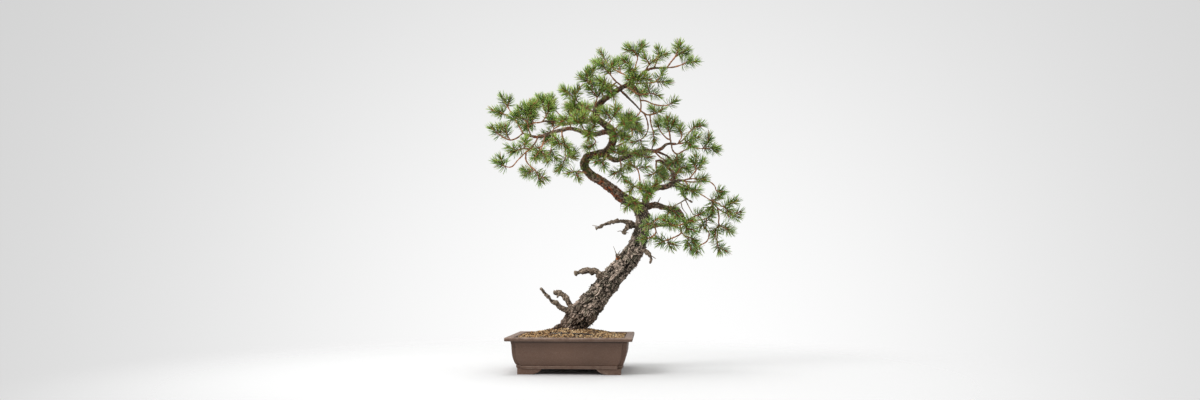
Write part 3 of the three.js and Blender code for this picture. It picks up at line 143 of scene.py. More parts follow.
SPRAYS = (  # (name, parts), and each part is (twig points, shoot ends)
    ("left_tip", ((((525, 134, 7.5), (523, 133.5, 8), (517, 138, 2), (510, 140, -5)), ((492, 128, -12),
     (506, 126.5, 0))), (((523, 133.5, 8), (519, 126, 14), (516, 121, 17)), ((502, 97, 25),
     (493, 110.5, 15))))),
    ("left_front", ((((531, 136, 5), (528.5, 129, -8), (527.5, 123, -15)), ((515.5, 115, -18),
     (525, 106, -18), (533, 104, -26))),)),
    ("left_back", ((((545, 121.2, 45), (539, 122.5, 50), (534, 123, 55)), ((526, 128, 64), (531, 113, 70))),
     (((542, 121.7, 48), (545, 118, 38), (546, 115.5, 31)), ((539, 98, 34), (551, 109, 26))))),
    ("left_peak", ((((571, 123, 34), (563, 117.5, 45), (557, 112, 50)), ((549, 99, 50),)),
     (((566, 119.7, 41), (560, 125, 62), (554, 129, 80)), ((546, 140, 90), (552, 117, 94))))),
    ("left_low", ((((538, 137, 0), (535, 143, -10), (530, 149, -18), (525, 153, -22), (518, 160, -28),
     (511, 167, -32)), ((496, 161.5, -38),)), (((530, 149, -18), (525, 148.5, -20)), ((512.5, 152, -24),
     (525.5, 141, -22))), (((526, 152.2, -21), (526, 160, -22), (530, 166, -26), (535, 170, -28)),
     ((540, 181, -30), (524, 170.5, -14))))),
    ("left_under", ((((545, 135, -5), (543, 143, -20), (541, 149, -28)), ((534, 158, -40),
     (546, 158, -36))),)),
    ("left_inner", ((((553, 132, -8), (552, 141, 5), (551, 149, 12)), ((548, 161, 14), (556, 158, 24))),
     (((552.3, 138, 1), (546, 142, 26), (540, 147, 46)), ((530, 149, 60), (538, 157, 60))))),
    ("left_middle", ((((562, 130, -10), (562, 137, -25), (563, 142, -33)), ((555, 144, -44),
     (568, 147, -44))), (((562, 134, -18), (564, 142, -2), (565, 149, 8), (566, 156, 11)), ((575, 157, 16),
     (560, 167, 12))))),
    ("trunk_bend", ((((590, 174, -8), (582, 172, -17), (576, 171.5, -21)), ((568.5, 173, -26),
     (579, 178, -32))),)),
    ("bright_front", ((((588, 134, -15), (584, 129.5, -35), (582, 125.5, -48)), ((584, 115, -66),
     (575, 120, -68))), (((585, 130.5, -31), (590, 130, -40)), ((595, 122, -56), (588, 135, -64))),
     (((587, 133, -19), (593, 137.5, -8), (595.5, 142, -2)), ((589.5, 147, 2),)))),
    ("bright_left", ((((571, 128.7, -12), (570, 123.5, -26), (570, 120, -36)), ((570, 110, -46),
     (563, 119, -44))),)),
    ("bright_back", ((((580, 121.6, 26), (579, 117, 40), (578, 113.5, 47)), ((572, 105.5, 58),
     (587, 108.5, 60))),)),
    ("shoulder", ((((596, 113, -12), (588, 109, -25), (581, 105, -35), (577, 101, -42)), ((564, 89, -52),
     (574.5, 92, -48))), (((588, 109, -25), (583, 110, -33)), ((571, 106.5, -47),)))),
    ("shoulder_front", ((((596.5, 109, -14), (595.5, 103.5, -30), (597, 98, -38)), ((589, 88.5, -46),
     (602, 88, -50))),)),
    ("crown_left", ((((620, 88.5, -22), (612, 84.8, -31), (604, 85, -36), (595, 85.3, -38)),
     ((581, 77, -44), (589, 71, -42))),)),
    ("crown_front", ((((623, 87, -23), (615, 80.5, -37), (610.5, 75, -45)), ((602, 64.5, -52),
     (612, 65, -52))), (((617, 82, -34), (610, 86, -46)), ((601, 81, -56), (611, 92, -58))))),
    ("crown_back_left", ((((631, 82.5, -25), (625, 75, -5), (618, 71.5, 5), (610, 66, 10)), ((601, 53, 10),
     (595.5, 62, 18))), (((620, 72.3, 3), (620, 70, 9)), ((618.5, 62.5, 14),)))),
    ("apex", ((((632, 82, -25), (634, 73, -25), (636, 64, -22), (637.5, 57.5, -20)), ((629, 47, -24),
     (641, 45.5, -18))), (((634.5, 71, -24.5), (631, 68, -36)), ((627, 60.5, -44), (630, 72, -60))))),
    ("apex_right", ((((646, 70.5, -10), (647.5, 67, -20), (649, 65, -25)), ((645, 57.5, -30),
     (656, 60, -28))),)),
    ("top_inner", ((((654, 68.2, -4), (656.5, 62, 6), (658.5, 58, 9)), ((658, 49, 8), (666, 54, 18))),)),
    ("top_right", ((((665, 68, 2), (666.5, 67.8, 2), (671, 62, 0), (675, 57, -2)), ((680, 44.5, -4),
     (687, 50, 4))), (((666.5, 67.8, 2), (674, 67, -4), (681, 65, -8)), ((690, 60.5, -10),)))),
    ("top_right_low", ((((632, 83, -24), (640, 83.5, -30), (648, 83, -35), (655, 82, -38)),
     ((663, 71.5, -42), (668, 82, -40))),)),
    ("crown_right_front", ((((638, 77, -20), (638.5, 79, -34), (638.5, 80, -42)), ((632.5, 77, -62),
     (645, 76.5, -58))),)),
    ("fall_side", ((((638, 92, -11), (639.5, 96, -9), (641, 104, -8), (640, 112, -14), (635, 117.5, -20)),
     ((627, 119.5, -30), (638, 125, -38))), (((639.2, 95, -9.5), (645, 94, -20), (649, 93, -25)),
     ((647, 85.5, -30), (658, 95.5, -34))), (((640.5, 100.5, -8), (646, 101, -12), (653, 104, -15),
     (660, 105.5, -18), (667, 105.3, -20)), ((675, 101, -22),)))),
    ("fall_low", ((((641, 111, 11), (644, 113.2, 13), (648, 115, 15), (654, 114, 18)), ((662, 109.5, 22),
     (652, 108, 30))), (((644, 113.2, 13), (647, 120, 15), (648, 129, 18), (645, 136, 20),
     (641, 139.3, 21)), ((633, 142, 22), (643, 148, 28))), (((650, 114.8, 16.5), (651, 124, 10),
     (653, 131, 5)), ((654, 140, 0),)))),
    ("heart_left", ((((606, 126, -3), (609, 122.5, -34), (611, 120, -52)), ((605, 111, -74),
     (618, 109.5, -80))),)),
    ("heart_right", ((((612.5, 133, 5), (617, 127, -30), (621, 123.5, -50)), ((628, 115, -66),
     (624, 124, -84))), (((616, 128.2, -22), (619, 131.5, -42), (621, 133, -56)), ((614, 136, -78),
     (628, 136.5, -76))))),
    ("heart_back", ((((612.5, 139, 10), (620, 131.5, 45), (626, 126, 70)), ((620, 116, 84),
     (635, 119, 88))),)),
    ("fork_top", ((((612, 148, 13), (620, 144.5, 5), (627, 141, 0), (632, 135.5, -4), (631.5, 130, -5)),
     ((627, 126.5, 8), (639, 129, 6))),)),
    ("bend_front", ((((606, 152.5, 13), (606, 157, -18), (603, 159, -30)), ((595.5, 162, -42),
     (604, 167, -42))),)),
    ("limb_top", ((((619, 160, 21), (619, 156, 6), (619, 154, 0)), ((613, 151.5, -14),
     (625.5, 150.5, -12))), (((619, 157.5, 11), (621, 165, 4), (620, 170, -2)), ((613.5, 174, -12),
     (624, 179, 4))))),
    ("limb_front", ((((644, 150.8, 20), (643, 154, 0), (641.5, 156, -14)), ((636, 153.5, -30),
     (650, 157, -32))),)),
    ("inner_top", ((((646, 199, 6), (641, 191, -10), (640, 181, -12), (639, 174, -10), (637.5, 169.5, -9)),
     ((631, 164, -14), (646, 167, -18))), (((640, 185, -11.5), (635, 186, -20)), ((627, 181.5, -26),
     (630, 191.5, -30))))),
    ("back_middle", ((((609.5, 148, 15), (618, 150, 50), (624, 155, 82), (628, 158, 100)), ((621, 150, 116),
     (636, 154, 120), (629, 168, 114))),)),
    ("under_knob", ((((656.5, 161, 49.5), (656, 167, 40), (657, 171, 33)), ((650.5, 175, 26),
     (663, 178, 26))),)),
    ("trunk_top", ((((650, 192, 9.5), (649, 190, -14), (648.5, 189, -24)), ((642, 186, -36),
     (656, 185, -38), (647, 197, -42))),)),
    ("trunk_front", ((((634, 204, -4), (634, 200, -26), (633, 199.5, -32)), ((627, 207, -44),
     (638, 208, -50))),)),
    ("right_peak", ((((671, 143.6, 0), (670.3, 140, -1), (667, 138.5, 4), (661, 132, 8)),
     ((656.5, 123, 9),)), (((670.3, 140, -1), (670, 136, -6), (669.5, 133, -8)), ((666, 121.5, -10),
     (674, 122.5, -8))))),
    ("right_middle", ((((676, 144, -4), (677.5, 144, -5), (680, 140, -9), (681.5, 137.5, -11)),
     ((680, 129.5, -14),)), (((677.5, 144, -5), (684, 139, 2), (690, 131.5, 8)), ((698.5, 124.5, 11),)),
     (((677.5, 144, -5), (685, 142.5, -10)), ((693, 136, -16), (690, 145, -28))))),
    ("right_tip", ((((671.5, 143.8, 0), (672.5, 150, 6), (677, 154, 9), (684, 150.5, 11), (692, 147.5, 13),
     (702, 148.5, 15)), ((709, 140.5, 16), (716, 148, 12))), (((677, 154, 9), (677, 157, 4)),
     ((677.5, 162, -4),)))),
    ("right_low_up", ((((674, 178, 18), (677, 173, 28), (679.5, 169, 32)), ((678, 160.5, 36),
     (687, 167, 38))),)),
    ("right_shelf", ((((683, 180.3, 3), (687, 179.3, 0), (693, 178.7, -4)), ((704, 180, -8),)),
     (((689, 179, -1.3), (693.5, 173.5, -12), (696, 170, -17)), ((692, 161.5, -24), (703, 162.5, -20))),
     (((685, 179.8, 1.5), (687, 184, -13), (689, 187, -20)), ((684, 192, -30), (693.5, 193.5, -30))))),
    ("cascade", ((((676, 181.5, 10), (684, 185.5, 16), (693, 189.5, 17), (703, 195.5, 18), (711, 200, 20)),
     ((719, 197.5, 24), (713, 209, 24))), (((711, 200, 20), (718, 203.5, 12), (723, 206.5, 7)),
     ((730, 202, 4), (730, 211.5, -4))), (((711, 200, 20), (717.5, 208, 26), (724.5, 212.5, 25),
     (729, 214, 23)), ((737.5, 217, 20),)), (((717.5, 208, 26), (719, 217, 28), (719, 224, 29)),
     ((728, 229, 24), (714, 231, 32))), (((719, 224, 29), (717.8, 232, 31), (717, 240, 32)),
     ((719.5, 251, 33),)))),
    ("bare_arch", ((((681, 180.8, 4.5), (692, 182, 12), (702, 181.5, 14), (710, 182, 14), (715, 186.5, 13),
     (716.3, 190.5, 12)), ((722.5, 191.5, 6),)),)),
    ("low_limb", ((((669, 208.5, 22), (670, 208, 4), (671, 208.5, -8)), ((667, 216, -16),
     (678, 215.5, -18))),)),
    ("low_near_trunk", ((((655, 226, -32), (653.5, 224, -46), (652.5, 223, -52)), ((646, 225, -58),
     (658, 219, -64))), (((653.8, 224.5, -43), (656, 232, -42), (653, 236, -45)), ((643.5, 239, -52),)))),
    ("low_front", ((((666, 225, -48), (667.5, 223.5, -60), (668, 223, -66)), ((664, 220, -82),
     (673, 225, -84))),)),
    ("low_front_tip", ((((673, 226, -54), (675, 226, -55), (680, 225, -55), (683, 224, -55)),
     ((691, 222.5, -60), (687, 231, -66))), (((680, 225, -55), (681, 233, -47), (675, 237, -41),
     (668, 239.5, -37)), ((660, 243, -34), (670.5, 247, -32))), (((681, 232, -48), (685, 236, -43),
     (688, 237, -41)), ((687, 244, -38), (695.5, 240, -44))))),
    ("low_far", ((((684.5, 221, 21.5), (692, 220, 27), (700, 220, 31), (706, 218.5, 33)), ((712, 215, 36),
     (705, 227, 26))), (((687, 220.8, 23.5), (691, 218, 16), (694, 216.5, 11)), ((700, 214, 6),)),
     (((702, 219.8, 31.5), (704, 227, 30), (709, 233, 28), (707, 241, 25), (701, 245, 22)),
     ((694, 250, 20),)))),
    ("back_left", ((((603, 123, -4), (600, 118, 40), (597, 114, 70), (593, 112, 90)), ((583, 107, 104),
     (598, 104, 114))),)),
    ("back_right", ((((656, 188.5, 12), (660, 183, 50), (664, 180, 80), (668, 178, 98)), ((661, 171, 110),
     (677, 171, 114), (676, 185, 116))),)),
    ("back_crown", ((((622, 87.5, -23), (628, 88, 18), (634, 92, 48), (637, 94, 64)), ((631, 87, 78),
     (645, 94, 80))),)),
    ("back_low_right", ((((664, 207.5, 21), (669, 212, 50), (674, 216, 74)), ((682, 219.5, 86),
     (676, 226, 90))),)),
    ("back_upper_right", ((((654, 151, 14), (660, 157, 50), (665, 161.5, 72)), ((660, 169, 84),
     (673, 165, 90))),)),
)


# ---- Shapes ----


@dataclass(frozen=True)
class FrontView:
    """Where the tree's points are read from, and where the camera stands.

    Middle, focal length and level line are in the view's own units, across and down from its upper left
    corner. Distance, height and aside are the viewer's place from the middle of the pot's foot, turn is the
    angle in degrees from the pot's axes to the view's, and spread is how deep one step is.
    """

    middle: tuple[float, float] = (600, 200)
    focal: float = 860
    level: float = 277
    distance: float = 2288
    height: float = 244
    aside: float = 72
    turn: float = 3.4
    spread: float = 1.45

    @property
    def tilt(self) -> float:
        """The angle that the view looks up by: the level line lies that far under its middle."""
        return math.atan((self.level - self.middle[1]) / self.focal)

    def place(self, points: Line) -> Array:
        """Puts points of the view in the pot's axes.

        A point's ray is followed until it is as far away as the pot's middle plus the point's own depth. The
        result is turned about the pot's middle.

        Args:
            points: (across, down, steps) for each point.

        Returns:
            (x, y, z) for each point.
        """
        across, down, steps = np.asarray(points, float)[:, :3].T
        depth = steps * self.spread
        u, v = (across - self.middle[0]) / self.focal, (self.middle[1] - down) / self.focal
        far = (self.distance + depth) / (math.cos(self.tilt) - v * math.sin(self.tilt))
        x = self.aside + u * far
        z = self.height + far * (math.sin(self.tilt) + v * math.cos(self.tilt))
        c, s = math.cos(math.radians(self.turn)), math.sin(math.radians(self.turn))
        return np.stack([c * x - s * depth, s * x + c * depth, z], axis=1)


VIEW = FrontView()


def unit(vectors: Array) -> Array:
    """Each vector divided by its own length."""
    return vectors / np.maximum(np.linalg.norm(vectors, axis=-1, keepdims=True), TINY)


def blend(low: float | Array, high: float | Array, share: float | Array) -> float | Array:
    """The value that lies the given share of the way from low to high."""
    return low + (high - low) * share


def rise(low: float, high: float, x: Array) -> Array:
    """An S-shaped step: 0 before low, 1 past high, and 3t^2 - 2t^3 of the share t between them."""
    t = np.clip((x - low) / (high - low), 0, 1)
    return t * t * (3 - 2 * t)


def scatter(*keys: Array | int) -> Array:
    """Repeatable numbers from 0 to 1.

    Each key is multiplied by an odd number and added to the last result, whose bits are then stirred.

    Args:
        keys: whole numbers or arrays of them.

    Returns:
        One number for each set of keys.
    """
    low_bits, first, step, stir = (np.uint64(n) for n in (0xFFFFFFFF, 374761393, 668265263, 1274126177))
    state = np.full(np.broadcast(*keys).shape, first, np.uint64)
    for key in keys:
        state = state + (np.asarray(key).astype(np.int64).astype(np.uint64) & low_bits) * step
        state = ((state ^ (state >> np.uint64(13))) * stir) & low_bits
        state = state ^ (state >> np.uint64(16))
    return state.astype(float) / float(low_bits)


def lumps(points: Array, size: float, seed: int) -> Array:
    """Soft lumps, from -1 to 1.

    Space is cut into cubes, every corner gets a scattered number, and a point takes the mean of its cube's
    eight corners, each weighted by an S-shaped step along every axis.

    Args:
        points: where the lumps are read.
        size: the side of a cube.
        seed: which pattern it is.

    Returns:
        One number a point.
    """
    at = points / size
    cell = np.floor(at)
    share = at - cell
    share = share * share * (3 - 2 * share)
    cell = cell.astype(np.int64)
    total = np.zeros(len(points))
    for corner in np.ndindex(2, 2, 2):
        step = np.array(corner)
        weight = np.prod(np.where(step == 1, share, 1 - share), axis=1)
        total += weight * scatter(*(cell + step).T, seed)
    return 2 * total - 1


def smooth_line(points: Array, places: Array) -> Array:
    """A line that bends smoothly through points.

    Between two points it is a cubic whose slopes at both ends come from the neighbouring points, weighted by
    the square roots of their distances.

    Args:
        points: the points.
        places: where it is wanted, from 0 at the first point to 1 at the last, with equal shares between.

    Returns:
        The line's point at each place.
    """
    wide = np.vstack([2 * points[0] - points[1], points, 2 * points[-1] - points[-2]])
    last = len(points) - 1
    at = np.clip(np.asarray(places, float), 0, 1) * last
    i = np.minimum(np.floor(at).astype(int), last - 1)
    t = (at - i)[:, None]
    p0, p1, p2, p3 = (wide[i + k] for k in range(4))
    pairs = ((p0, p1), (p1, p2), (p2, p3))
    d0, d1, d2 = (np.sqrt(np.linalg.norm(b - a, axis=1, keepdims=True)) for a, b in pairs)
    m1 = ((p1 - p0) / d0 - (p2 - p0) / (d0 + d1) + (p2 - p1) / d1) * d1
    m2 = ((p2 - p1) / d1 - (p3 - p1) / (d1 + d2) + (p3 - p2) / d2) * d1
    return p1 + m1 * t + (3 * (p2 - p1) - 2 * m1 - m2) * t**2 + (2 * (p1 - p2) + m1 + m2) * t**3


def lengths_along(line: Array) -> Array:
    """How far each point of a line is from its start, measured along it."""
    return np.concatenate([[0], np.cumsum(np.linalg.norm(np.diff(line, axis=0), axis=1))])


def points_at(line: Array, run: Array, wanted: Array) -> Array:
    """The points of a line at the wanted lengths, where run is the length at each of its own points."""
    return np.stack([np.interp(wanted, run, line[:, k]) for k in range(3)], axis=1)


def evened(points: Array, step: float) -> tuple[Array, Array]:
    """The smooth line through points, cut into three or more equal steps.

    Args:
        points: the points.
        step: about how long a step is.

    Returns:
        The line, and the place of each of its points among the given ones, from 0 to 1.
    """
    places = np.linspace(0, 1, FINENESS * len(points))
    fine = smooth_line(points, places)
    run = lengths_along(fine)
    wanted = np.linspace(0, run[-1], max(4, int(round(run[-1] / step)) + 1))
    return points_at(fine, run, wanted), np.interp(wanted, run, places)


def headings(line: Array) -> tuple[Array, Array, Array]:
    """The way a line runs at each point, and two directions square to it.

    The first of the two starts from the direction in which the line's headings spread least, on the side
    away from the viewer, less its part along the heading. The other is the cross product.

    Args:
        line: its points.

    Returns:
        The heading and the two directions.
    """
    ahead = unit(np.gradient(line, axis=0))
    flat = np.linalg.svd(ahead, full_matrices=False)[2][-1]
    side = unit((flat - ahead * (ahead @ flat)[:, None]) * (1 if flat[1] >= 0 else -1))
    return ahead, side, np.cross(ahead, side)


@dataclass
class Shape:
    """Points and faces in millimetres, with one number a point for each named value.

    Quads and triangles are kept apart, each with the number of its finish.
    """

    points: Array
    quads: Array = field(default_factory=lambda: np.zeros((0, 4), int))
    triangles: Array = field(default_factory=lambda: np.zeros((0, 3), int))
    values: dict[str, Array] = field(default_factory=dict)
    finish: int = 0

    def with_values(self, **values: float | Array) -> "Shape":
        """The same shape with these values, each one number for all its points or one a point."""
        for name, numbers in values.items():
            self.values[name] = np.broadcast_to(np.asarray(numbers, float), (len(self.points),))
        return self


def grid_faces(rows: int, columns: int) -> Array:
    """The quads between rings of points that are numbered ring by ring.

    Args:
        rows: how many rings there are.
        columns: how many points each has.

    Returns:
        The four points of each quad, counterclockwise seen from outside.
    """
    row, column = np.arange(rows - 1)[:, None] * columns, np.arange(columns)[None]
    following, above = (column + 1) % columns, row + columns
    quads = np.stack([row + column, row + following, above + following, above + column], axis=-1)
    return quads.reshape(-1, 4)


def lofted(rings: Array, low: Array | None = None, high: Array | None = None) -> Shape:
    """A closed skin over rings of points, shut at each end by a fan to a middle point.

    Args:
        rings: (rings, points, 3), counterclockwise round the way they follow each other.
        low: the first fan's middle point. It is the ring's mean if none is given.
        high: the last fan's, likewise.

    Returns:
        The shape. The two middle points come last.
    """
    rows, columns = rings.shape[:2]
    ends = ((rings[0], low), (rings[-1], high))
    poles = [ring.mean(axis=0) if pole is None else pole for ring, pole in ends]
    column = np.arange(columns)
    following = (column + 1) % columns
    first, last = rows * columns, (rows - 1) * columns
    start = np.stack([np.full(columns, first), following, column], axis=1)
    end = np.stack([np.full(columns, first + 1), last + column, last + following], axis=1)
    points = np.vstack([rings.reshape(-1, 3), poles])
    return Shape(points, grid_faces(rows, columns), np.vstack([start, end]))


def tube(line: Array, radii: Array, sides: int, dome: float = 0.5, rows: slice = slice(None)) -> Shape:
    """A round rod along a line: at each point a ring, square to the line, whose points are a radius away.

    Args:
        line: the line's points.
        radii: a radius for each, or for each point of each ring.
        sides: how many points a ring has.
        dome: how far each end bulges, as a share of its radius.
        rows: which stretch of the line it has.

    Returns:
        The rod.
    """
    ahead, side, across = headings(line)
    angle = np.arange(sides) * 2 * math.pi / sides
    out = side[:, None] * np.cos(angle)[:, None] + across[:, None] * np.sin(angle)[:, None]
    radii = np.broadcast_to(radii.reshape(len(line), -1), (len(line), sides))
    rings = line[:, None] + out * radii[..., None]
    line, ahead, radii, rings = line[rows], ahead[rows], radii[rows], rings[rows]
    ends = [line[i] + sign * ahead[i] * radii[i].mean() * dome for i, sign in ((0, -1), (-1, 1))]
    return lofted(rings, *ends)


def joined(shapes: Sequence[Shape]) -> Shape:
    """Several shapes as one, with 0 for a value that a shape lacks."""
    starts = np.concatenate([[0], np.cumsum([len(s.points) for s in shapes])])
    names = sorted({name for s in shapes for name in s.values})
    return Shape(
        np.vstack([s.points for s in shapes]),
        np.vstack([s.quads + start for s, start in zip(shapes, starts)]),
        np.vstack([s.triangles + start for s, start in zip(shapes, starts)]),
        {n: np.concatenate([s.values.get(n, np.zeros(len(s.points))) for s in shapes]) for n in names},
    )


def mesh_of(
    name: str, shapes: Sequence[Shape], scale: float = METRES, origin: Array = FOOT_MIDDLE
) -> bpy.types.Mesh:
    """A smooth mesh of the shapes, with their finishes, and their values as attributes.

    Args:
        name: its name.
        shapes: what it holds.
        scale: what their points are multiplied by.
        origin: what is then added to them.

    Returns:
        The mesh.
    """
    whole = joined(shapes)
    mesh = bpy.data.meshes.new(name)
    mesh.vertices.add(len(whole.points))
    mesh.vertices.foreach_set("co", (whole.points * scale + origin).astype(np.float32).ravel())
    corners = np.concatenate([whole.quads.ravel(), whole.triangles.ravel()])
    sizes = np.concatenate([np.full(len(whole.quads), 4), np.full(len(whole.triangles), 3)])
    mesh.loops.add(len(corners))
    mesh.loops.foreach_set("vertex_index", corners.astype(np.int32))
    mesh.polygons.add(len(sizes))
    mesh.polygons.foreach_set("loop_start", np.concatenate([[0], np.cumsum(sizes)[:-1]]).astype(np.int32))
    finishes = [np.full(len(s.quads), s.finish) for s in shapes]
    finishes += [np.full(len(s.triangles), s.finish) for s in shapes]
    mesh.polygons.foreach_set("material_index", np.concatenate(finishes).astype(np.int32))
    for value, numbers in whole.values.items():
        mesh.attributes.new(value, "FLOAT", "POINT").data.foreach_set("value", numbers.astype(np.float32))
    mesh.update(calc_edges=True)
    mesh.shade_smooth()
    return mesh


def copies(faces: Array, points: int, count: int) -> Array:
    """The faces of a shape with that many points, for count of them whose points follow each other."""
    return (faces[None] + points * np.arange(count)[:, None, None]).reshape(-1, faces.shape[1])


def object_of(name: str, mesh: bpy.types.Mesh) -> bpy.types.Object:
    """An object at the origin that shows the mesh."""
    piece = bpy.data.objects.new(name, mesh)
    bpy.context.scene.collection.objects.link(piece)
    return piece


def finished_mesh(piece: bpy.types.Object, name: str) -> bpy.types.Mesh:
    """The object's mesh with its modifiers applied, under a name. The object is removed."""
    made = bpy.data.meshes.new_from_object(piece.evaluated_get(bpy.context.evaluated_depsgraph_get()))
    made.name = name
    bpy.data.objects.remove(piece)
    return made


@dataclass(frozen=True)
class Piece:
    """A finished piece of the plant: its name, its finish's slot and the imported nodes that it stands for."""

    name: str
    slot: str
    stands_for: tuple[str, ...] = ()

    def show(self, mesh: bpy.types.Mesh, looks: Sequence[Material]) -> bpy.types.Object:
        """Puts the piece in the scene, on the plant's one body.

        Args:
            mesh: its mesh.
            looks: its materials, in the order of its faces' finishes.

        Returns:
            Its object.
        """
        piece = object_of(self.name, mesh)
        for look in looks:
            mesh.materials.append(look)
        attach(piece, "root")
        if self.stands_for:
            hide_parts(*self.stands_for)
        LOG.info("%s: %d points, %d faces", self.name, len(mesh.vertices), len(mesh.polygons))
        return piece


# ---- Finishes ----


def colour(tint: Tint) -> tuple[float, float, float, float]:
    """A screen colour as light.

    A share v of 255 gives v / 12.92 when it is dark, else ((v + 0.055) / 1.055)^2.4.

    Args:
        tint: the screen colour.

    Returns:
        Its light, from 0 to 1, and 1 for opaque.
    """
    shares = (part / 255 for part in tint)
    light = [v / 12.92 if v <= 0.04045 else ((v + 0.055) / 1.055) ** 2.4 for v in shares]
    return (*light, 1.0)


class Graph:
    """A node tree under construction, of a material or of the sky."""

    def __init__(self, tree: bpy.types.NodeTree) -> None:
        """Works on that tree."""
        self.tree = tree

    def node(self, kind: str, settings: dict | None = None, inputs: dict | None = None) -> bpy.types.Node:
        """Adds a node.

        Args:
            kind: its type.
            settings: what is set on the node itself, first.
            inputs: by name or number, a value, a socket or a Reading for each input.

        Returns:
            The node.
        """
        made = self.tree.nodes.new(kind)
        for key, value in (settings or {}).items():
            setattr(made, key, value)
        for key, value in (inputs or {}).items():
            value = value.socket if isinstance(value, Reading) else value
            if isinstance(value, Socket):
                self.tree.links.new(value, made.inputs[key])
            else:
                made.inputs[key].default_value = value
        return made

    def mix(self, share: "Reading", low: Hue, high: Hue) -> Socket:
        """The colour that lies the given share of the way from low to high.

        Args:
            share: held between 0 and 1.
            low: the colour at 0.
            high: the colour at 1.

        Returns:
            The mixed colour.
        """
        low, high = (colour(hue) if isinstance(hue, tuple) else hue for hue in (low, high))
        settings = {"data_type": "RGBA", "blend_type": "MIX", "clamp_factor": True}
        return self.node("ShaderNodeMix", settings, {0: share, 6: low, 7: high}).outputs[2]


class Paint(Graph):
    """A material under construction: a Principled shader and the nodes that feed it."""

    def __init__(self, name: str, base: Tint, roughness: float, specular: float) -> None:
        """Starts a material, with what it has where nothing is fed.

        Args:
            name: its name.
            base: its colour.
            roughness: its roughness.
            specular: how strongly it mirrors light.
        """
        self.material = bpy.data.materials.new(name)
        self.material.use_nodes = True
        super().__init__(self.material.node_tree)
        self.shader = self.tree.nodes["Principled BSDF"]
        self.shader.inputs["Base Color"].default_value = colour(base)
        self.shader.inputs["Roughness"].default_value = roughness
        self.shader.inputs["Specular IOR Level"].default_value = specular
        self.material.diffuse_color = colour(base)

    def value(self, name: str) -> "Reading":
        """The value of that name that the piece's points hold."""
        return Reading(self, self.node("ShaderNodeAttribute", {"attribute_name": name}).outputs["Fac"])

    def grain(self, size: float, detail: float = 3, roughness: float = 0.55) -> "Reading":
        """Noise from about 0 to 1.

        Args:
            size: how wide its lumps are, in metres.
            detail: how many times finer ones are added.
            roughness: how strong they are.

        Returns:
            The noise.
        """
        place = self.node("ShaderNodeTexCoord").outputs["Object"]
        inputs = {"Vector": place, "Scale": 1 / size, "Detail": detail, "Roughness": roughness}
        return Reading(self, self.node("ShaderNodeTexNoise", {}, inputs).outputs["Fac"])

    def ramp(self, share: "Reading", stops: Stops, even: bool = True) -> Socket:
        """The colour for a share.

        Args:
            share: from 0 to 1.
            stops: where along it each tint stands.
            even: True if the colour changes evenly between stops, False if each is held until the next.

        Returns:
            The colour.
        """
        made = self.node("ShaderNodeValToRGB", {}, {"Fac": share})
        made.color_ramp.interpolation = "LINEAR" if even else "CONSTANT"
        elements = made.color_ramp.elements
        for i, (place, tint) in enumerate(stops):
            stop = elements[i] if i < len(elements) else elements.new(place)
            stop.position, stop.color = place, colour(tint)
        return made.outputs["Color"]

    def bump(self, height: "Reading", depth: float) -> None:
        """Raises the surface by height times depth, in metres, where light is concerned."""
        bump = self.node("ShaderNodeBump", {}, {"Height": height, "Distance": depth})
        self.feed("Normal", bump.outputs["Normal"])

    def feed(self, name: str, source: "Reading | Socket") -> None:
        """Links a socket or a Reading to one of the shader's inputs."""
        socket = source.socket if isinstance(source, Reading) else source
        self.tree.links.new(socket, self.shader.inputs[name])


class Reading:
    """A number that varies over a surface or the sky. Arithmetic on it adds Math nodes to its graph."""

    def __init__(self, paint: Graph, socket: Socket) -> None:
        """Wraps a socket of that graph."""
        self.paint, self.socket = paint, socket

    def _math(self, operation: str, *terms: object) -> "Reading":
        """The result of a Math node on these terms."""
        node = self.paint.node("ShaderNodeMath", {"operation": operation}, dict(enumerate(terms)))
        return Reading(self.paint, node.outputs[0])

    def __add__(self, other: object) -> "Reading":
        """Self plus other."""
        return self._math("ADD", self, other)

    def __sub__(self, other: object) -> "Reading":
        """Self less other."""
        return self._math("SUBTRACT", self, other)

    def __rsub__(self, other: object) -> "Reading":
        """Other less self."""
        return self._math("SUBTRACT", other, self)

    def __mul__(self, other: object) -> "Reading":
        """Self times other."""
        return self._math("MULTIPLY", self, other)

    __radd__, __rmul__ = __add__, __mul__

    def maximum(self, other: object) -> "Reading":
        """The greater of self and other."""
        return self._math("MAXIMUM", self, other)

    def power(self, exponent: float) -> "Reading":
        """Self raised to a power."""
        return self._math("POWER", self, exponent)

    def step(self, low: float, high: float) -> "Reading":
        """An S-shaped step from 0 at low to 1 at high."""
        inputs = {"Value": self, "From Min": low, "From Max": high}
        node = self.paint.node("ShaderNodeMapRange", {"interpolation_type": "SMOOTHSTEP"}, inputs)
        return Reading(self.paint, node.outputs[0])


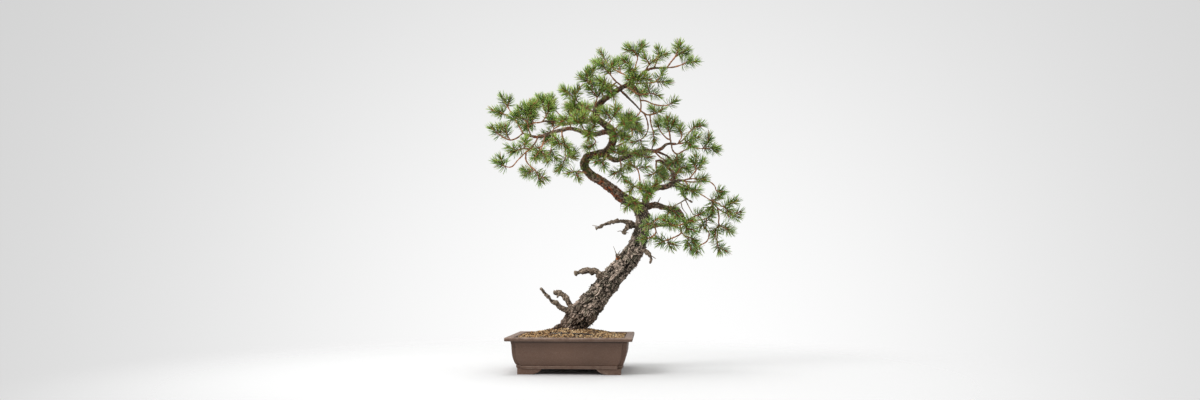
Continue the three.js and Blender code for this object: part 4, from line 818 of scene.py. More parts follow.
@dataclass(frozen=True)
class ClayFinish:
    """Unglazed brown stoneware: faint mottling, a fine tooth, a paler dry bloom along its edges, and painted
    shade under the rim.

    Widths are in metres, here and in every finish. Breaks are those in the bloom, areas are smooth or rough.
    """

    body: Tint = (104, 79, 65)
    dark: Tint = (90, 68, 56)
    bloom: Tint = (156, 134, 120)
    # painted shade: the dark colour under the rim's overhang
    grime: Tint = (46, 35, 29)
    mottle_width: float = 0.09
    speck_width: float = 0.0016
    break_width: float = 0.012
    area_width: float = 0.02
    fine_tooth: float = 0.0011
    coarse_tooth: float = 0.009
    tooth_depth: float = 0.0004
    roughness: float = 0.62
    specular: float = 0.35

    def material(self) -> Material:
        """The clay's material."""
        paint = Paint("stoneware", self.body, self.roughness, self.specular)
        mottle = paint.grain(self.mottle_width).step(0.3, 0.75)
        speck = paint.grain(self.speck_width, 2).step(0.42, 0.75)
        tint = paint.mix(mottle * 0.6 + 0.4, self.dark, self.body)
        tint = paint.mix(speck * 0.22, tint, self.bloom)
        edge = paint.value("edge") * paint.grain(self.break_width, 4).step(0.25, 0.65)
        tint = paint.mix(edge * 0.9, tint, self.bloom)
        # painted shade: darker under the rim, where its overhang shades the neck
        paint.feed("Base Color", paint.mix(paint.value("grime"), tint, self.grime))
        paint.feed("Roughness", paint.grain(self.area_width) * 0.2 + (self.roughness - 0.1))
        tooth = paint.grain(self.fine_tooth) * 0.6 + paint.grain(self.coarse_tooth, 2) * 0.8
        paint.bump(tooth, self.tooth_depth)
        return paint.material


@dataclass(frozen=True)
class BarkFinish:
    """Plated pine bark: dark cracks, grey-brown plates with pale faces, orange flakes and moss higher up.

    Thin lichen greys it in patches, and the side that faces away from the upper left light is darkened as
    painted shade.
    """

    crack: Tint = (20, 16, 13)
    deep: Tint = (66, 57, 49)
    plate: Tint = (142, 128, 113)
    pale: Tint = (224, 202, 184)
    # painted shade on the side away from the light
    damp: Tint = (38, 31, 25)
    resin: Tint = (214, 120, 48)
    foot: Tint = (104, 74, 58)
    flake: Tint = (184, 104, 66)
    young: Tint = (122, 96, 76)
    moss: Tint = (96, 104, 54)
    lichen: Tint = (132, 134, 110)
    bare: Stops = ((0.37, (50, 40, 33)), (0.51, (158, 138, 118)), (0.66, (214, 194, 170)))
    fine_width: float = 0.0028
    coarse_width: float = 0.007
    broad_width: float = 0.03
    lichen_width: float = 0.02
    flake_width: float = 0.018
    moss_width: float = 0.008
    bare_width: float = 0.0045
    resin_width: float = 0.006
    depth: float = 0.0024
    roughness: float = 0.88
    specular: float = 0.25

    def material(self) -> Material:
        """The bark's material: live plates, what lies on them, and over all dead wood, painted shade and
        cracks.
        """
        paint = Paint("pine_bark", self.plate, self.roughness, self.specular)
        fine = paint.grain(self.fine_width, 6, 0.75)
        coarse = paint.grain(self.coarse_width, 4)
        broad = paint.grain(self.broad_width)
        tone = paint.value("plate")
        own = paint.value("own")
        face = paint.mix((tone * 0.5 + own * 0.4 + fine * 0.9).step(0.55, 1.05), self.deep, self.plate)
        pale = (tone * 0.4 + own * 0.4 + coarse * 0.5 + fine * 0.6 + broad * 0.3).step(1.07, 1.34)
        face = paint.mix(pale, face, self.pale)
        face = paint.mix(paint.grain(self.lichen_width, 5, 0.65).step(0.5, 0.6) * 0.4, face, self.lichen)
        face = paint.mix(paint.value("flake") * 0.55, face, self.young)
        face = paint.mix(paint.value("foot") * (0.3 + coarse * 0.7), face, self.foot)
        flaked = paint.value("flake") * (own * 0.35 + paint.grain(self.flake_width, 4, 0.6)).step(0.68, 0.84)
        face = paint.mix(flaked, face, self.flake)
        mossed = paint.value("moss") * paint.grain(self.moss_width, 5).step(0.36, 0.58)
        face = paint.mix(mossed, face, self.moss)
        grey = paint.ramp(paint.grain(self.bare_width, 5, 0.7), self.bare)
        face = paint.mix(paint.value("bare") * 0.8, face, grey)
        wept = paint.value("resin") * paint.grain(self.resin_width).step(0.35, 0.5)
        face = paint.mix(wept, face, self.resin)
        # painted shade: darker on the side that faces away from the upper left light, in uneven patches
        face = paint.mix(paint.value("damp") * (0.24 + broad * 0.6), face, self.damp)
        face = paint.mix(paint.value("crack"), face, self.crack)
        paint.feed("Base Color", face)
        paint.bump(fine + paint.value("plate") * 0.2, self.depth)
        return paint.material


@dataclass(frozen=True)
class TwigFinish:
    """Young bark: reddish brown, greyer towards the limb, with pale scales and worn dark patches."""

    young: Tint = (198, 134, 88)
    old: Tint = (146, 110, 82)
    dark: Tint = (66, 44, 32)
    pale: Tint = (220, 162, 120)
    scale_width: float = 0.0022
    patch_width: float = 0.006
    depth: float = 0.0008
    roughness: float = 0.75
    specular: float = 0.3

    def material(self) -> Material:
        """The twigs' material."""
        paint = Paint("twig_bark", self.young, self.roughness, self.specular)
        scale = paint.grain(self.scale_width, 4, 0.6)
        tint = paint.mix((paint.value("reach") + scale * 0.6).step(0.25, 1.1), self.old, self.young)
        tint = paint.mix(scale.step(0.52, 0.7) * 0.7, tint, self.pale)
        worn = scale.step(0.48, 0.3).maximum(paint.grain(self.patch_width, 2).step(0.5, 0.35) * 0.6)
        paint.feed("Base Color", paint.mix(worn, tint, self.dark))
        paint.bump(scale, self.depth)
        return paint.material


@dataclass(frozen=True)
class NeedleFinish:
    """Pine needles: mid green, with a painted highlight of the sunlit colour towards the tips, and a few that
    have gone straw coloured.

    A needle is brown at its foot, where its sheath is, and darker for a stretch past it as painted shade.
    """

    shade: Tint = (44, 74, 26)
    middle: Tint = (119, 161, 60)
    sunlit: Tint = (206, 226, 116)
    cool: Tint = (106, 156, 90)
    sheath: Tint = (150, 104, 66)
    straw: Tint = (178, 136, 88)
    roughness: float = 0.48
    specular: float = 0.35

    def material(self) -> Material:
        """The needles' material."""
        paint = Paint("pine_needles", self.middle, self.roughness, self.specular)
        tint = paint.ramp(paint.value("tone"), ((0.0, self.shade), (0.45, self.middle), (1.0, self.sunlit)))
        tint = paint.mix(paint.value("cool"), tint, self.cool)
        reach = paint.value("reach")
        # painted shade near the needle's foot, inside the tuft, and a painted highlight towards its tip
        tint = paint.mix(reach.step(0.6, 0.1) * 0.5, tint, self.shade)
        tint = paint.mix(reach.step(0.5, 1.0) * 0.4, tint, self.sunlit)
        tint = paint.mix(reach.step(0.26, 0.06) * 0.85, tint, self.sheath)
        paint.feed("Base Color", paint.mix(paint.value("straw"), tint, self.straw))
        return paint.material


@dataclass(frozen=True)
class BudFinish:
    """Resinous winter buds: orange brown with pale scale edges."""

    body: Tint = (164, 92, 54)
    pale: Tint = (205, 158, 118)
    scale_width: float = 0.0012
    roughness: float = 0.5
    specular: float = 0.4

    def material(self) -> Material:
        """The buds' material."""
        paint = Paint("bud_scales", self.body, self.roughness, self.specular)
        scale = paint.grain(self.scale_width, 2).step(0.5, 0.75)
        paint.feed("Base Color", paint.mix(scale, self.body, self.pale))
        return paint.material


@dataclass(frozen=True)
class GritFinish:
    """Gravelly soil: each grain has one colour, from ochre and tan to brown and grey, and some dirt."""

    base: Tint = (122, 90, 58)
    grains: Stops = (
        (0.0, (62, 46, 34)), (0.13, (118, 90, 60)), (0.3, (184, 146, 102)), (0.5, (216, 182, 134)),
        (0.68, (156, 124, 90)), (0.8, (232, 204, 160)), (0.93, (130, 124, 114)),
    )
    dirt: Tint = (84, 58, 38)
    dirt_width: float = 0.0016
    tooth_width: float = 0.0009
    tooth_depth: float = 0.0005
    roughness: float = 0.9
    specular: float = 0.2

    def material(self) -> Material:
        """The grains' material."""
        paint = Paint("soil_grit", self.base, self.roughness, self.specular)
        tint = paint.ramp(paint.value("tone"), self.grains, even=False)
        tint = paint.mix(paint.grain(self.dirt_width).step(0.4, 0.7) * 0.45, tint, self.dirt)
        paint.feed("Base Color", tint)
        paint.bump(paint.grain(self.tooth_width), self.tooth_depth)
        return paint.material


@dataclass(frozen=True)
class PlainFinish:
    """One colour with faint brighter patches, for the soil's bed, the tie wire and the drain screens."""

    name: str
    tint: Tint
    roughness: float
    metallic: float = 0.0
    specular: float = 0.4
    brighter: float = 1.25
    lift: int = 6
    patch_width: float = 0.004

    def material(self) -> Material:
        """The material."""
        paint = Paint(self.name, self.tint, self.roughness, self.specular)
        paint.shader.inputs["Metallic"].default_value = self.metallic
        pale = tuple(min(255, int(part * self.brighter) + self.lift) for part in self.tint)
        paint.feed("Base Color", paint.mix(paint.grain(self.patch_width).step(0.35, 0.7), self.tint, pale))
        return paint.material


# ---- Wood ----


STEM_STEP = 2.5
TRUNK_SIDES = 28
LIMB_SIDES = 16
SLIM_RADIUS = 2.3


class Growth(Enum):
    """What a stem of the wood is."""

    TRUNK = 0
    LIMB = 1
    DEAD = 2
    ROOT = 3


@dataclass(frozen=True)
class Stem:
    """A trunk, limb, root or dead stub: a smooth line in even steps, with a radius and a share at each.

    The share is the step's place among the points that the line goes through, from 0 to 1.
    """

    name: str
    growth: Growth
    line: Array
    radii: Array
    share: Array

    @staticmethod
    def through(name: str, growth: Growth, points: Line, radii: Sequence[float]) -> "Stem":
        """The stem through points of the front view, with radii that are spread evenly over them."""
        line, share = evened(VIEW.place(points), STEM_STEP)
        return Stem(name, growth, line, np.interp(share, np.linspace(0, 1, len(radii)), radii), share)

    @property
    def is_slim(self) -> bool:
        """True if the stem is too thin for the fused skin, and is a rod of its own."""
        return self.radii.max() < SLIM_RADIUS

    def rod(self, start: float = 0.0, end: float = 1.0) -> Shape:
        """The stem as a rod. The trunk's is swollen by wandering ridges, which are broken into blocks.

        The swelling is a tenth of this: 0.6 of a sine that goes round four times and drifts, plus 0.4 of a
        sine that goes along the trunk thirteen times. It is half as strong at the top.

        Args:
            start: the share at which the rod starts.
            end: where it ends.

        Returns:
            The rod.
        """
        if self.growth is not Growth.TRUNK:
            return tube(self.line, self.radii, LIMB_SIDES)
        turn = -np.arange(TRUNK_SIDES)[None] * 2 * math.pi / TRUNK_SIDES
        t = self.share[:, None]
        ridges = np.sin(4 * turn + 1.3 * np.sin(23.4 * t) + 5 * t)
        blocks = np.sin(26 * math.pi * t + 2.2 * np.sin(2 * turn))
        swell = 1 + 0.1 * (0.6 * ridges + 0.4 * blocks) * (1 - 0.5 * t)
        rows = slice(*np.searchsorted(self.share, (start, end + TINY)))
        return tube(self.line, self.radii[:, None] * swell, TRUNK_SIDES, rows=rows)


def tree_stems() -> list[Stem]:
    """Every stem of the wood, the trunk first."""
    trunk = Stem.through("trunk", Growth.TRUNK, [p[:3] for p in TRUNK], [p[3] for p in TRUNK])
    limbs = [Stem.through(name, Growth.LIMB, points, (a, b)) for name, a, b, points in LIMBS]
    stubs = [
        Stem.through(name, Growth.ROOT if name.startswith("root") else Growth.DEAD, points, (a, b))
        for name, a, b, points in STUBS
    ]
    return [trunk, *limbs, *stubs]


@dataclass
class BarkMap:
    """Where a point of the skin lies on the stems: along, round and out from the nearest one.

    Cells are the bark's plates, whose length and width have a base and grow with the radius. Along a stem
    they are counted by adding up each step's length over the cell length there.
    """

    stems: list[Stem]
    cell_base: float = 5.0
    cell_growth: float = 0.48
    plate_width: float = 2.6
    width_growth: float = 0.13
    batch: int = 6000

    def __post_init__(self) -> None:
        """Gathers every stem's steps into whole arrays."""
        parts = []
        for number, stem in enumerate(self.stems):
            ahead, side, across = headings(stem.line)
            run = lengths_along(stem.line)
            cell = self.cell_base + self.cell_growth * stem.radii
            cells = np.concatenate([[0], np.cumsum(np.diff(run) / (0.5 * (cell[1:] + cell[:-1])))])
            width = self.plate_width + self.width_growth * stem.radii.mean()
            around = max(4, round(2 * math.pi * stem.radii.mean() / width))
            n = len(stem.line)
            parts.append((stem.line, ahead, side, across, stem.radii, cell, cells, np.full(n, around),
                          np.full(n, number), np.full(n, stem.growth.value), run / run[-1]))
        (self.line, self.ahead, self.side, self.across, self.radii, self.cell, self.cells, self.around,
         self.number, self.growth, self.share) = (np.concatenate(column) for column in zip(*parts))

    def nearest(self, points: Array) -> Array:
        """The step of a stem whose surface is nearest to each point: least distance less radius."""
        found = np.empty(len(points), int)
        for start in range(0, len(points), self.batch):
            some = points[start:start + self.batch]
            squared = (some**2).sum(1)[:, None] - 2 * some @ self.line.T + (self.line**2).sum(1)
            found[start:start + self.batch] = np.argmin(np.sqrt(np.maximum(squared, 0)) - self.radii, axis=1)
        return found

    @staticmethod
    def cells_at(along: Array, turn: Array, around: Array, seed: Array | int) -> tuple[Array, Array, Array]:
        """Uneven cells on a strip that closes on itself.

        Every square of the strip holds one scattered seed point, every other row is moved half a square on,
        and a place belongs to the seed nearest to it.

        Args:
            along: the place along the strip, in cells.
            turn: the place round it, from 0 to 1.
            around: how many cells go round.
            seed: which pattern it is.

        Returns:
            How much nearer that seed is than the next, a number that the cell keeps, and how far ahead it is.
        """
        first, second = np.full(len(along), 9.0), np.full(len(along), 9.0)
        tone, lean = np.zeros(len(along)), np.zeros(len(along))
        column, row = np.floor(turn * around), np.floor(along)
        for down in (-1, 0, 1):
            for over in (-1, 0, 1):
                r, c = row + down, np.mod(column + over, around)
                shift = 0.5 * np.mod(r, 2)
                dx = column + over + blend(0.1, 0.9, scatter(r, c, seed, 1)) + shift - 0.25 - turn * around
                dy = r + blend(0.1, 0.9, scatter(r, c, seed, 2)) - along
                far = np.hypot(dx, dy)
                closer = far < first
                second = np.where(closer, first, np.minimum(second, far))
                first = np.where(closer, far, first)
                tone = np.where(closer, scatter(r, c, seed, 3), tone)
                lean = np.where(closer, dy, lean)
        return second - first, tone, lean


@dataclass
class Wood:
    """The trunk with its limbs, roots and dead stubs, grown as one.

    The stems' rods are fused into skins, which are raised into bark plates, the cells of the bark map. The
    trunk's lower and upper skins lap at the joint, a share of its line, where they have the same plates. A
    plate's depth is a share of the radius over a least one, up to the deepest.
    """

    stems: list[Stem]
    skin_step: float = 1.15
    fine_step: float = 0.95
    joint: float = 0.43
    lap: float = 0.012
    depth_share: float = 0.12
    least: float = 0.7
    deepest: float = 4.4
    full_radius: float = 30
    chip_count: int = 340
    chip_size: tuple[float, float] = (3, 8.5)
    chip_thickness: float = 0.8
    trunk_seed: int = 11
    stub_seed: int = 17
    limb_seed: int = 23
    chip_seed: int = 31

    @staticmethod
    def fused(rods: Sequence[Shape], step: float) -> Shape:
        """One skin round the rods, with points about a step apart."""
        rough = object_of("fused", mesh_of("fused", rods, 1.0, np.zeros(3)))
        remesh = rough.modifiers.new("skin", "REMESH")
        remesh.mode, remesh.voxel_size, remesh.adaptivity = "VOXEL", step, 0
        mesh = finished_mesh(rough, "skin")
        points = np.empty(len(mesh.vertices) * 3, np.float32)
        mesh.vertices.foreach_get("co", points)
        corners = np.empty(len(mesh.loops), np.int32)
        mesh.loops.foreach_get("vertex_index", corners)
        bpy.data.meshes.remove(mesh)
        return Shape(points.reshape(-1, 3).astype(float), corners.reshape(-1, 4).astype(int))

    def raised(self, skin: Shape, bark: BarkMap, seed: int) -> Shape:
        """Raises the skin's points into bark plates.

        A point moves out from its stem by a depth that grows with the radius, times a height: the plate's
        own level and tilt plus finer flakes and lumps, less the cracks, which are nearly closed in places.
        Dead wood gets knots and grooves in place of most of that.

        Args:
            skin: the fused skin.
            bark: where a point lies on the stems.
            seed: which pattern it gets.

        Returns:
            The raised skin with the values that its finish reads. Low is 1 where loose flakes can be.
        """
        at = bark.nearest(skin.points)
        out = skin.points - bark.line[at]
        ahead = (out * bark.ahead[at]).sum(1)
        out = unit(out - bark.ahead[at] * ahead[:, None])
        turn = np.arctan2((out * bark.across[at]).sum(1), (out * bark.side[at]).sum(1)) / (2 * math.pi) % 1
        radius, around = bark.radii[at], bark.around[at]
        warp = skin.points / np.clip(radius / self.full_radius, 0.35, 1.0)[:, None]
        along = bark.cells[at] + ahead / bark.cell[at]
        along = along + 0.5 * lumps(warp, 17, seed) + 0.3 * lumps(warp, 7, seed + 8)
        sway = 0.5 * lumps(warp, 19, seed + 3) + 0.3 * lumps(warp, 8, seed + 4)
        own = bark.number[at] * 7 + seed
        gap, tone, lean = bark.cells_at(along, turn + sway / around, around, own)
        small_turn = turn + 0.7 * sway / around
        small_gap, small_tone, _ = bark.cells_at(2.1 * along, small_turn, 2 * around, own + 3)
        open_cracks = rise(-0.55, 0.25, lumps(warp, 15, seed + 9))
        crack = (1 - rise(0.0, 0.34, gap)) * (0.35 + 0.65 * open_cracks)
        flakes = rise(0.05, 0.3, small_gap) * small_tone
        chinks = (1 - rise(0.0, 0.28, small_gap)) * rise(-0.5, 0.5, lumps(warp, 11, seed + 10))
        rough = lumps(skin.points, 2.6, seed + 1) * 0.2 + lumps(skin.points, 5.5, seed + 2) * 0.3
        rough = rough + 0.45 * lumps(skin.points, 16, seed + 11)
        height = 0.6 * tone + 0.4 * lean + 0.8 * flakes + rough - 1.3 * crack - 0.4 * chinks - 0.15
        trunk, limb, dead = (bark.growth[at] == g.value for g in (Growth.TRUNK, Growth.LIMB, Growth.DEAD))
        dead = 0.75 * dead
        groove = np.sin(2 * math.pi * (turn * 7 + 0.8 * lumps(skin.points, 6, seed + 5)))
        knots = lumps(skin.points, 8.5, seed + 6)
        worn = 0.3 * groove + 2.2 * knots + 1.5 * lumps(skin.points, 4.0, seed + 7) + 0.2
        depth = np.minimum(self.deepest, self.depth_share * radius + self.least) * (1 + 0.5 * dead)
        raised = skin.points + out * (depth * blend(height, worn, dead))[:, None]
        share = np.where(trunk, bark.share[at], np.where(limb, 0.8, 0))
        upward = out[:, 2] - 0.35 * out[:, 0]
        slim = rise(5.5, 2.5, radius)
        # lee: how far a point faces the upper left light; the side away from it gets painted shade
        lee = out @ unit(np.array([-0.55, -0.25, 0.8]))
        resin = bark.number[at] == [stem.name for stem in bark.stems].index("stub_bud")
        return Shape(raised, skin.quads).with_values(
            crack=blend(np.maximum(crack, 0.75 * chinks) * blend(1.0, 0.6, limb),
                        rise(0.2, 1.0, -groove) * 0.55 + 0.6 * rise(0.0, -0.6, knots), dead),
            foot=rise(0.16, 0.02, share) * (1 - dead),
            plate=np.clip(0.45 + 0.55 * height, 0, 1.2),
            flake=rise(0.4, 0.54, share) * (1 - dead) * blend(0.55, 1.0, np.maximum(trunk, slim)),
            moss=rise(0.55, 0.6, share) * rise(0.69, 0.64, share) * rise(-0.4, 0.5, upward) * trunk,
            bare=dead,
            own=0.55 * tone + 0.45 * small_tone,
            damp=rise(0.15, -0.75, lee) * blend(1.0, 0.4, limb),
            resin=resin * rise(0.95, 0.7, bark.share[at]),
            low=trunk * (share < 0.5) * (share > 0.03),
        )

    def chips(self, skin: Shape, bark: BarkMap, random: Random) -> Shape:
        """Loose flakes of bark that stand off the lower trunk.

        A flake is an uneven six-sided plate, which lies along the stem, a little turned, and is tilted out
        from the skin at its upper or lower end.

        Args:
            skin: the raised skin.
            bark: where a point lies on the stems.
            random: the draws.

        Returns:
            The flakes.
        """
        wanted = np.flatnonzero(skin.values["low"] > 0.5)
        roots = skin.points[random.choice(wanted, self.chip_count, replace=False)]
        at = bark.nearest(roots)
        out = unit(roots - bark.line[at])
        along = unit(bark.ahead[at] + 0.5 * random.normal(0, 1, (len(at), 3)))
        along = unit(along - out * (along * out).sum(1)[:, None] * 0.8)
        tilt = (random.uniform(0.1, 0.8, len(at)) * random.choice([-1, 1], len(at)))[:, None]
        along = unit(along + out * tilt)
        across = unit(np.cross(along, out))
        normal = np.cross(across, along)
        size = random.uniform(*self.chip_size, len(at))
        turn = np.arange(6) * math.pi / 3
        reach = size[:, None] * random.uniform(0.45, 1.15, (len(at), 6))
        flat = (along[:, None] * (np.cos(turn) * reach)[..., None]
                + across[:, None] * (np.sin(turn) * reach * 0.55)[..., None])
        middle = roots + out * (size * 0.12)[:, None]
        thick = normal[:, None] * self.chip_thickness / 2
        points = np.concatenate([middle[:, None] + flat - thick, middle[:, None] + flat + thick], axis=1)
        caps = np.array([[0, 3, 2, 1], [0, 5, 4, 3], [6, 7, 8, 9], [6, 9, 10, 11]])
        quads = copies(np.vstack([grid_faces(2, 6), caps]), 12, len(at))
        tone = np.repeat(random.uniform(0.2, 0.75, len(at)), 12)
        return Shape(points.reshape(-1, 3), quads).with_values(plate=tone, own=tone, crack=0.1)

    @staticmethod
    def slim_rods(stems: Sequence[Stem]) -> list[Shape]:
        """The stems that are too thin to be fused, as rods whose radius is uneven by lumps of two sizes."""
        made = []
        for number, stem in enumerate(stems):
            line, _ = evened(stem.line, 1.2)
            radii = np.interp(np.linspace(0, 1, len(line)), np.linspace(0, 1, len(stem.radii)), stem.radii)
            uneven = 1 + 0.3 * lumps(line, 3, 60 + number) + 0.2 * lumps(line, 7, 90 + number)
            made.append(tube(line, radii * uneven, 8).with_values(bare=0.7, plate=0.5, own=0.5, flake=0.3))
        return made

    def build(self, bark: BarkMap, look: Material) -> None:
        """Makes four pieces: the trunk's foot with the roots, its top, the dead stubs and the limbs."""
        trunk, *others = self.stems
        roots, limbs, dead = (
            [s for s in others if s.growth is growth] for growth in (Growth.ROOT, Growth.LIMB, Growth.DEAD))
        foot = [trunk.rod(0, self.joint + self.lap), *(s.rod() for s in roots)]
        foot = self.raised(self.fused(foot, self.skin_step), bark, self.trunk_seed)
        foot = [foot, self.chips(foot, bark, np.random.default_rng(self.chip_seed))]
        Piece("trunk_bark", "wood", ("trunk",)).show(mesh_of("trunk_bark", foot), [look])
        top = self.raised(self.fused([trunk.rod(self.joint)], self.skin_step), bark, self.trunk_seed)
        Piece("upper_trunk_bark", "wood").show(mesh_of("upper_trunk_bark", [top]), [look])
        stubs = self.fused([s.rod() for s in dead if not s.is_slim], self.fine_step)
        stubs = [self.raised(stubs, bark, self.stub_seed), *self.slim_rods([s for s in dead if s.is_slim])]
        Piece("stub_bark", "wood").show(mesh_of("stub_bark", stubs), [look])
        boughs = self.raised(self.fused([s.rod() for s in limbs], self.fine_step), bark, self.limb_seed)
        Piece("limb_bark", "wood").show(mesh_of("limb_bark", [boughs]), [look])


# ---- Sprays ----


@dataclass(frozen=True)
class NeedleRule:
    """How needles stand on a shoot, in pairs that go round by the golden angle."""

    pairs: int = 52
    length: float = 24
    half_width: float = 0.74
    thickness: float = 0.66
    rings: tuple[float, ...] = (0.0, 0.32, 0.74)
    ring_sizes: tuple[float, ...] = (0.7, 1.0, 0.82)
    zone: float = 30
    zone_share: float = 0.9
    foot_angle: float = 96
    tip_angle: float = 20
    stray: float = 13
    pair_angle: float = 8
    pair_stray: float = 2.5
    forward: float = 0.32
    rise: float = 0.16
    straw_share: float = 0.08


NEEDLES = NeedleRule()


class Look(IntEnum):
    """Which of a spray's materials a shape shows."""

    TWIG = 0
    NEEDLE = 1
    BUD = 2


# Sprays with few needles and no side shoots, through which the wood or the sky shows.
AIRY = (
    "left_under", "left_inner", "trunk_bend", "bend_front", "limb_top", "inner_top", "fall_side", "fall_low",
    "under_knob", "bare_arch", "low_near_trunk", "back_low_right", "back_upper_right", "trunk_front",
    "limb_front", "heart_back", "crown_back_left", "top_right_low", "low_limb", "low_front", "apex_right",
    "top_inner",
)
# Sprays of the thick cluster on the left.
DENSE = ("left_front", "left_back", "left_peak")
# How the names of sprays in the light start, and of those in the shade.
SUNNY = ("bright", "crown", "apex", "top", "shoulder", "left_peak", "left_tip", "heart")
SHADY = ("cascade", "low", "right", "under", "back_low")


@dataclass(frozen=True)
class Habit:
    """How a spray grows: its needles' tone, how blue they are (bluer in the shade, as painted shade), how
    many, and how many side shoots it has.
    """

    tint: float
    cool: float
    fullness: float
    sides: int
    inner: int

    @staticmethod
    def of(name: str) -> "Habit":
        """The habit that a spray's name tells. Only those at the back have inner shoots."""
        sunny, shady = name.startswith(SUNNY), name.startswith(SHADY)
        tint = 0.18 if name.startswith("bright") else -0.04 if sunny else 0.02
        # painted shade: sprays in the shade get bluer needles, those in the light none
        cool = 0.28 if shady else 0.0 if sunny else 0.1
        fullness, sides = (0.85, 0) if name in AIRY else (1.1, 2) if name in DENSE else (0.9, 1)
        return Habit(tint, cool, fullness - 0.05 * shady, sides, int(name.startswith("back")))


@dataclass
class Spray:
    """A leafy spray: a forked twig, buds at its shoots' tips, and needles round their outer stretches."""

    name: str
    parts: Sequence
    seed: int
    habit: Habit
    foot: float = 2.25
    side: float = 1.65
    tip: float = 1.4
    twig_sides: int = 7

    def shoots(self) -> list[tuple[Array, float]]:
        """The spray's stems: each a line, and where along it, from 0 to 1, its shoot starts.

        A part's twig runs on to the first of its ends and the other ends leave its last point. A shoot bends
        once: its middle is pushed on along the twig by a tenth of its length. Later parts start on the
        nearest earlier twig.

        Returns:
            The lines and their starts.
        """
        made, mains = [], []
        for twig, ends in self.parts:
            points, tips = VIEW.place(twig), VIEW.place(ends)
            if mains:
                before = np.vstack(mains)
                points[0] = before[np.argmin(np.linalg.norm(before - points[0], axis=1))]
            fork, way = points[-1], unit(points[-1] - points[-2])
            middles = [0.5 * (fork + t) + way * 0.1 * np.linalg.norm(t - fork) for t in tips]
            main = np.vstack([points, middles[0], tips[0]])
            start = (len(points) - 1) / (len(main) - 1)
            mains.append(smooth_line(main, np.linspace(0, start, 60)))
            made.append((main, start))
            made += [(np.vstack([fork, m, t]), 0.0) for m, t in zip(middles[1:], tips[1:])]
        return made

    def twig(self, points: Array, is_main: bool) -> Shape:
        """The bark of one stem: a rod that tapers, with a small swelling every few millimetres.

        Args:
            points: the stem's line.
            is_main: whether it is the twig itself.

        Returns:
            The rod.
        """
        line, _ = evened(points, 2.2)
        share = np.linspace(0, 1, len(line))
        radii = blend(self.foot if is_main else self.side, self.tip, share)
        radii = radii * (1 + 0.3 * lumps(line, 3.0, self.seed) + 0.2 * lumps(line, 7.0, self.seed + 1))
        shape = tube(line, radii, self.twig_sides)
        shape.finish = Look.TWIG
        return shape.with_values(reach=np.append(np.repeat(share, self.twig_sides), [0, 1]))

    @staticmethod
    def buds(tip: Array, way: Array, random: Random) -> list[Shape]:
        """A fat bud at the shoot's tip with two or three smaller ones round it.

        A bud is an egg on end: its radius follows the sine, to the power 0.8, of half a turn times the share
        of its length to the power 0.75.
        """
        made = []
        rest = unit(np.cross(way, [0.3, 0.2, 1]))
        for number in range(1 + random.integers(2, 4)):
            turn = number * GOLDEN_ANGLE
            lean = unit(rest * math.cos(turn) + np.cross(way, rest) * math.sin(turn))
            aim = way if number == 0 else unit(way + 0.75 * lean)
            long, thick = (9.0, 2.1) if number == 0 else (5.5, 1.4)
            t = np.linspace(0.04, 0.98, 6)
            line = tip + np.outer(t * long - 0.8, aim)
            shape = tube(line, thick * np.sin(math.pi * t**0.75) ** 0.8, 7, 0.4)
            shape.finish = Look.BUD
            made.append(shape)
        return made

    @staticmethod
    def side_shoots(points: Array, count: int, random: Random) -> list[Array]:
        """Short side shoots past the middle of a stem, which lean away from it and then bend back along it.

        Args:
            points: the stem's line.
            count: how many there are.
            random: the draws.

        Returns:
            Their lines.
        """
        made = []
        for number in range(count):
            base, ahead = smooth_line(points, np.array([random.uniform(0.45, 0.75), 1.0]))
            way = unit(ahead - base)
            turn = random.uniform(0, 2 * math.pi) if number == 0 else turn + random.uniform(1.8, 3.4)
            rest = unit(np.cross(way, [0.3, 0.2, 1]))
            lean = rest * math.cos(turn) + np.cross(way, rest) * math.sin(turn) + np.array([0, 0, 0.25])
            long = random.uniform(15, 25)
            middle = base + long * 0.5 * unit(0.7 * way + lean)
            made.append(np.vstack([base, middle, middle + long * 0.5 * unit(1.3 * way + lean)]))
        return made

    def needles(self, points: Array, start: float, random: Random) -> Shape:
        """The needles of one shoot.

        The n-th pair stands at an even share of the needles' zone and is turned by n golden angles. Its
        angle from the shoot falls from foot to tip.

        Args:
            points: the shoot's line.
            start: the share of it at which the shoot starts.
            random: the draws.

        Returns:
            The needles.
        """
        rule = NEEDLES
        fine = smooth_line(points, np.linspace(start, 1, 80))
        run = lengths_along(fine)
        zone = min(rule.zone, rule.zone_share * run[-1])
        pairs = int(rule.pairs * self.habit.fullness * zone / rule.zone)
        share = (np.arange(pairs) + random.random(pairs)) / pairs
        at = run[-1] - zone * (1 - share)
        root = points_at(fine, run, at)
        ahead, side, across = headings(fine)
        pick = np.searchsorted(run, at).clip(0, len(fine) - 1)
        ahead, side, across = ahead[pick], side[pick], across[pick]
        turn = np.arange(pairs) * GOLDEN_ANGLE + random.normal(0, 0.25, pairs)
        steep = blend(rule.foot_angle, rule.tip_angle, share**1.15) + random.normal(0, rule.stray, pairs)
        steep = np.radians(steep)
        out = side * np.cos(turn)[:, None] + across * np.sin(turn)[:, None]
        aim = ahead * np.cos(steep)[:, None] + out * np.sin(steep)[:, None]
        beside = unit(np.cross(aim, ahead) + 1e-6)
        spread = np.radians(random.normal(rule.pair_angle, rule.pair_stray, pairs))[:, None]
        return self.blades(
            np.repeat(root + out * 0.6, 2, axis=0),
            unit(np.concatenate([aim + beside * spread, aim - beside * spread], axis=1).reshape(-1, 3)),
            np.repeat(ahead, 2, axis=0),
            rule.length * np.repeat(1.04 - 0.12 * share, 2) * random.normal(1, 0.06, 2 * pairs),
            random,
        )

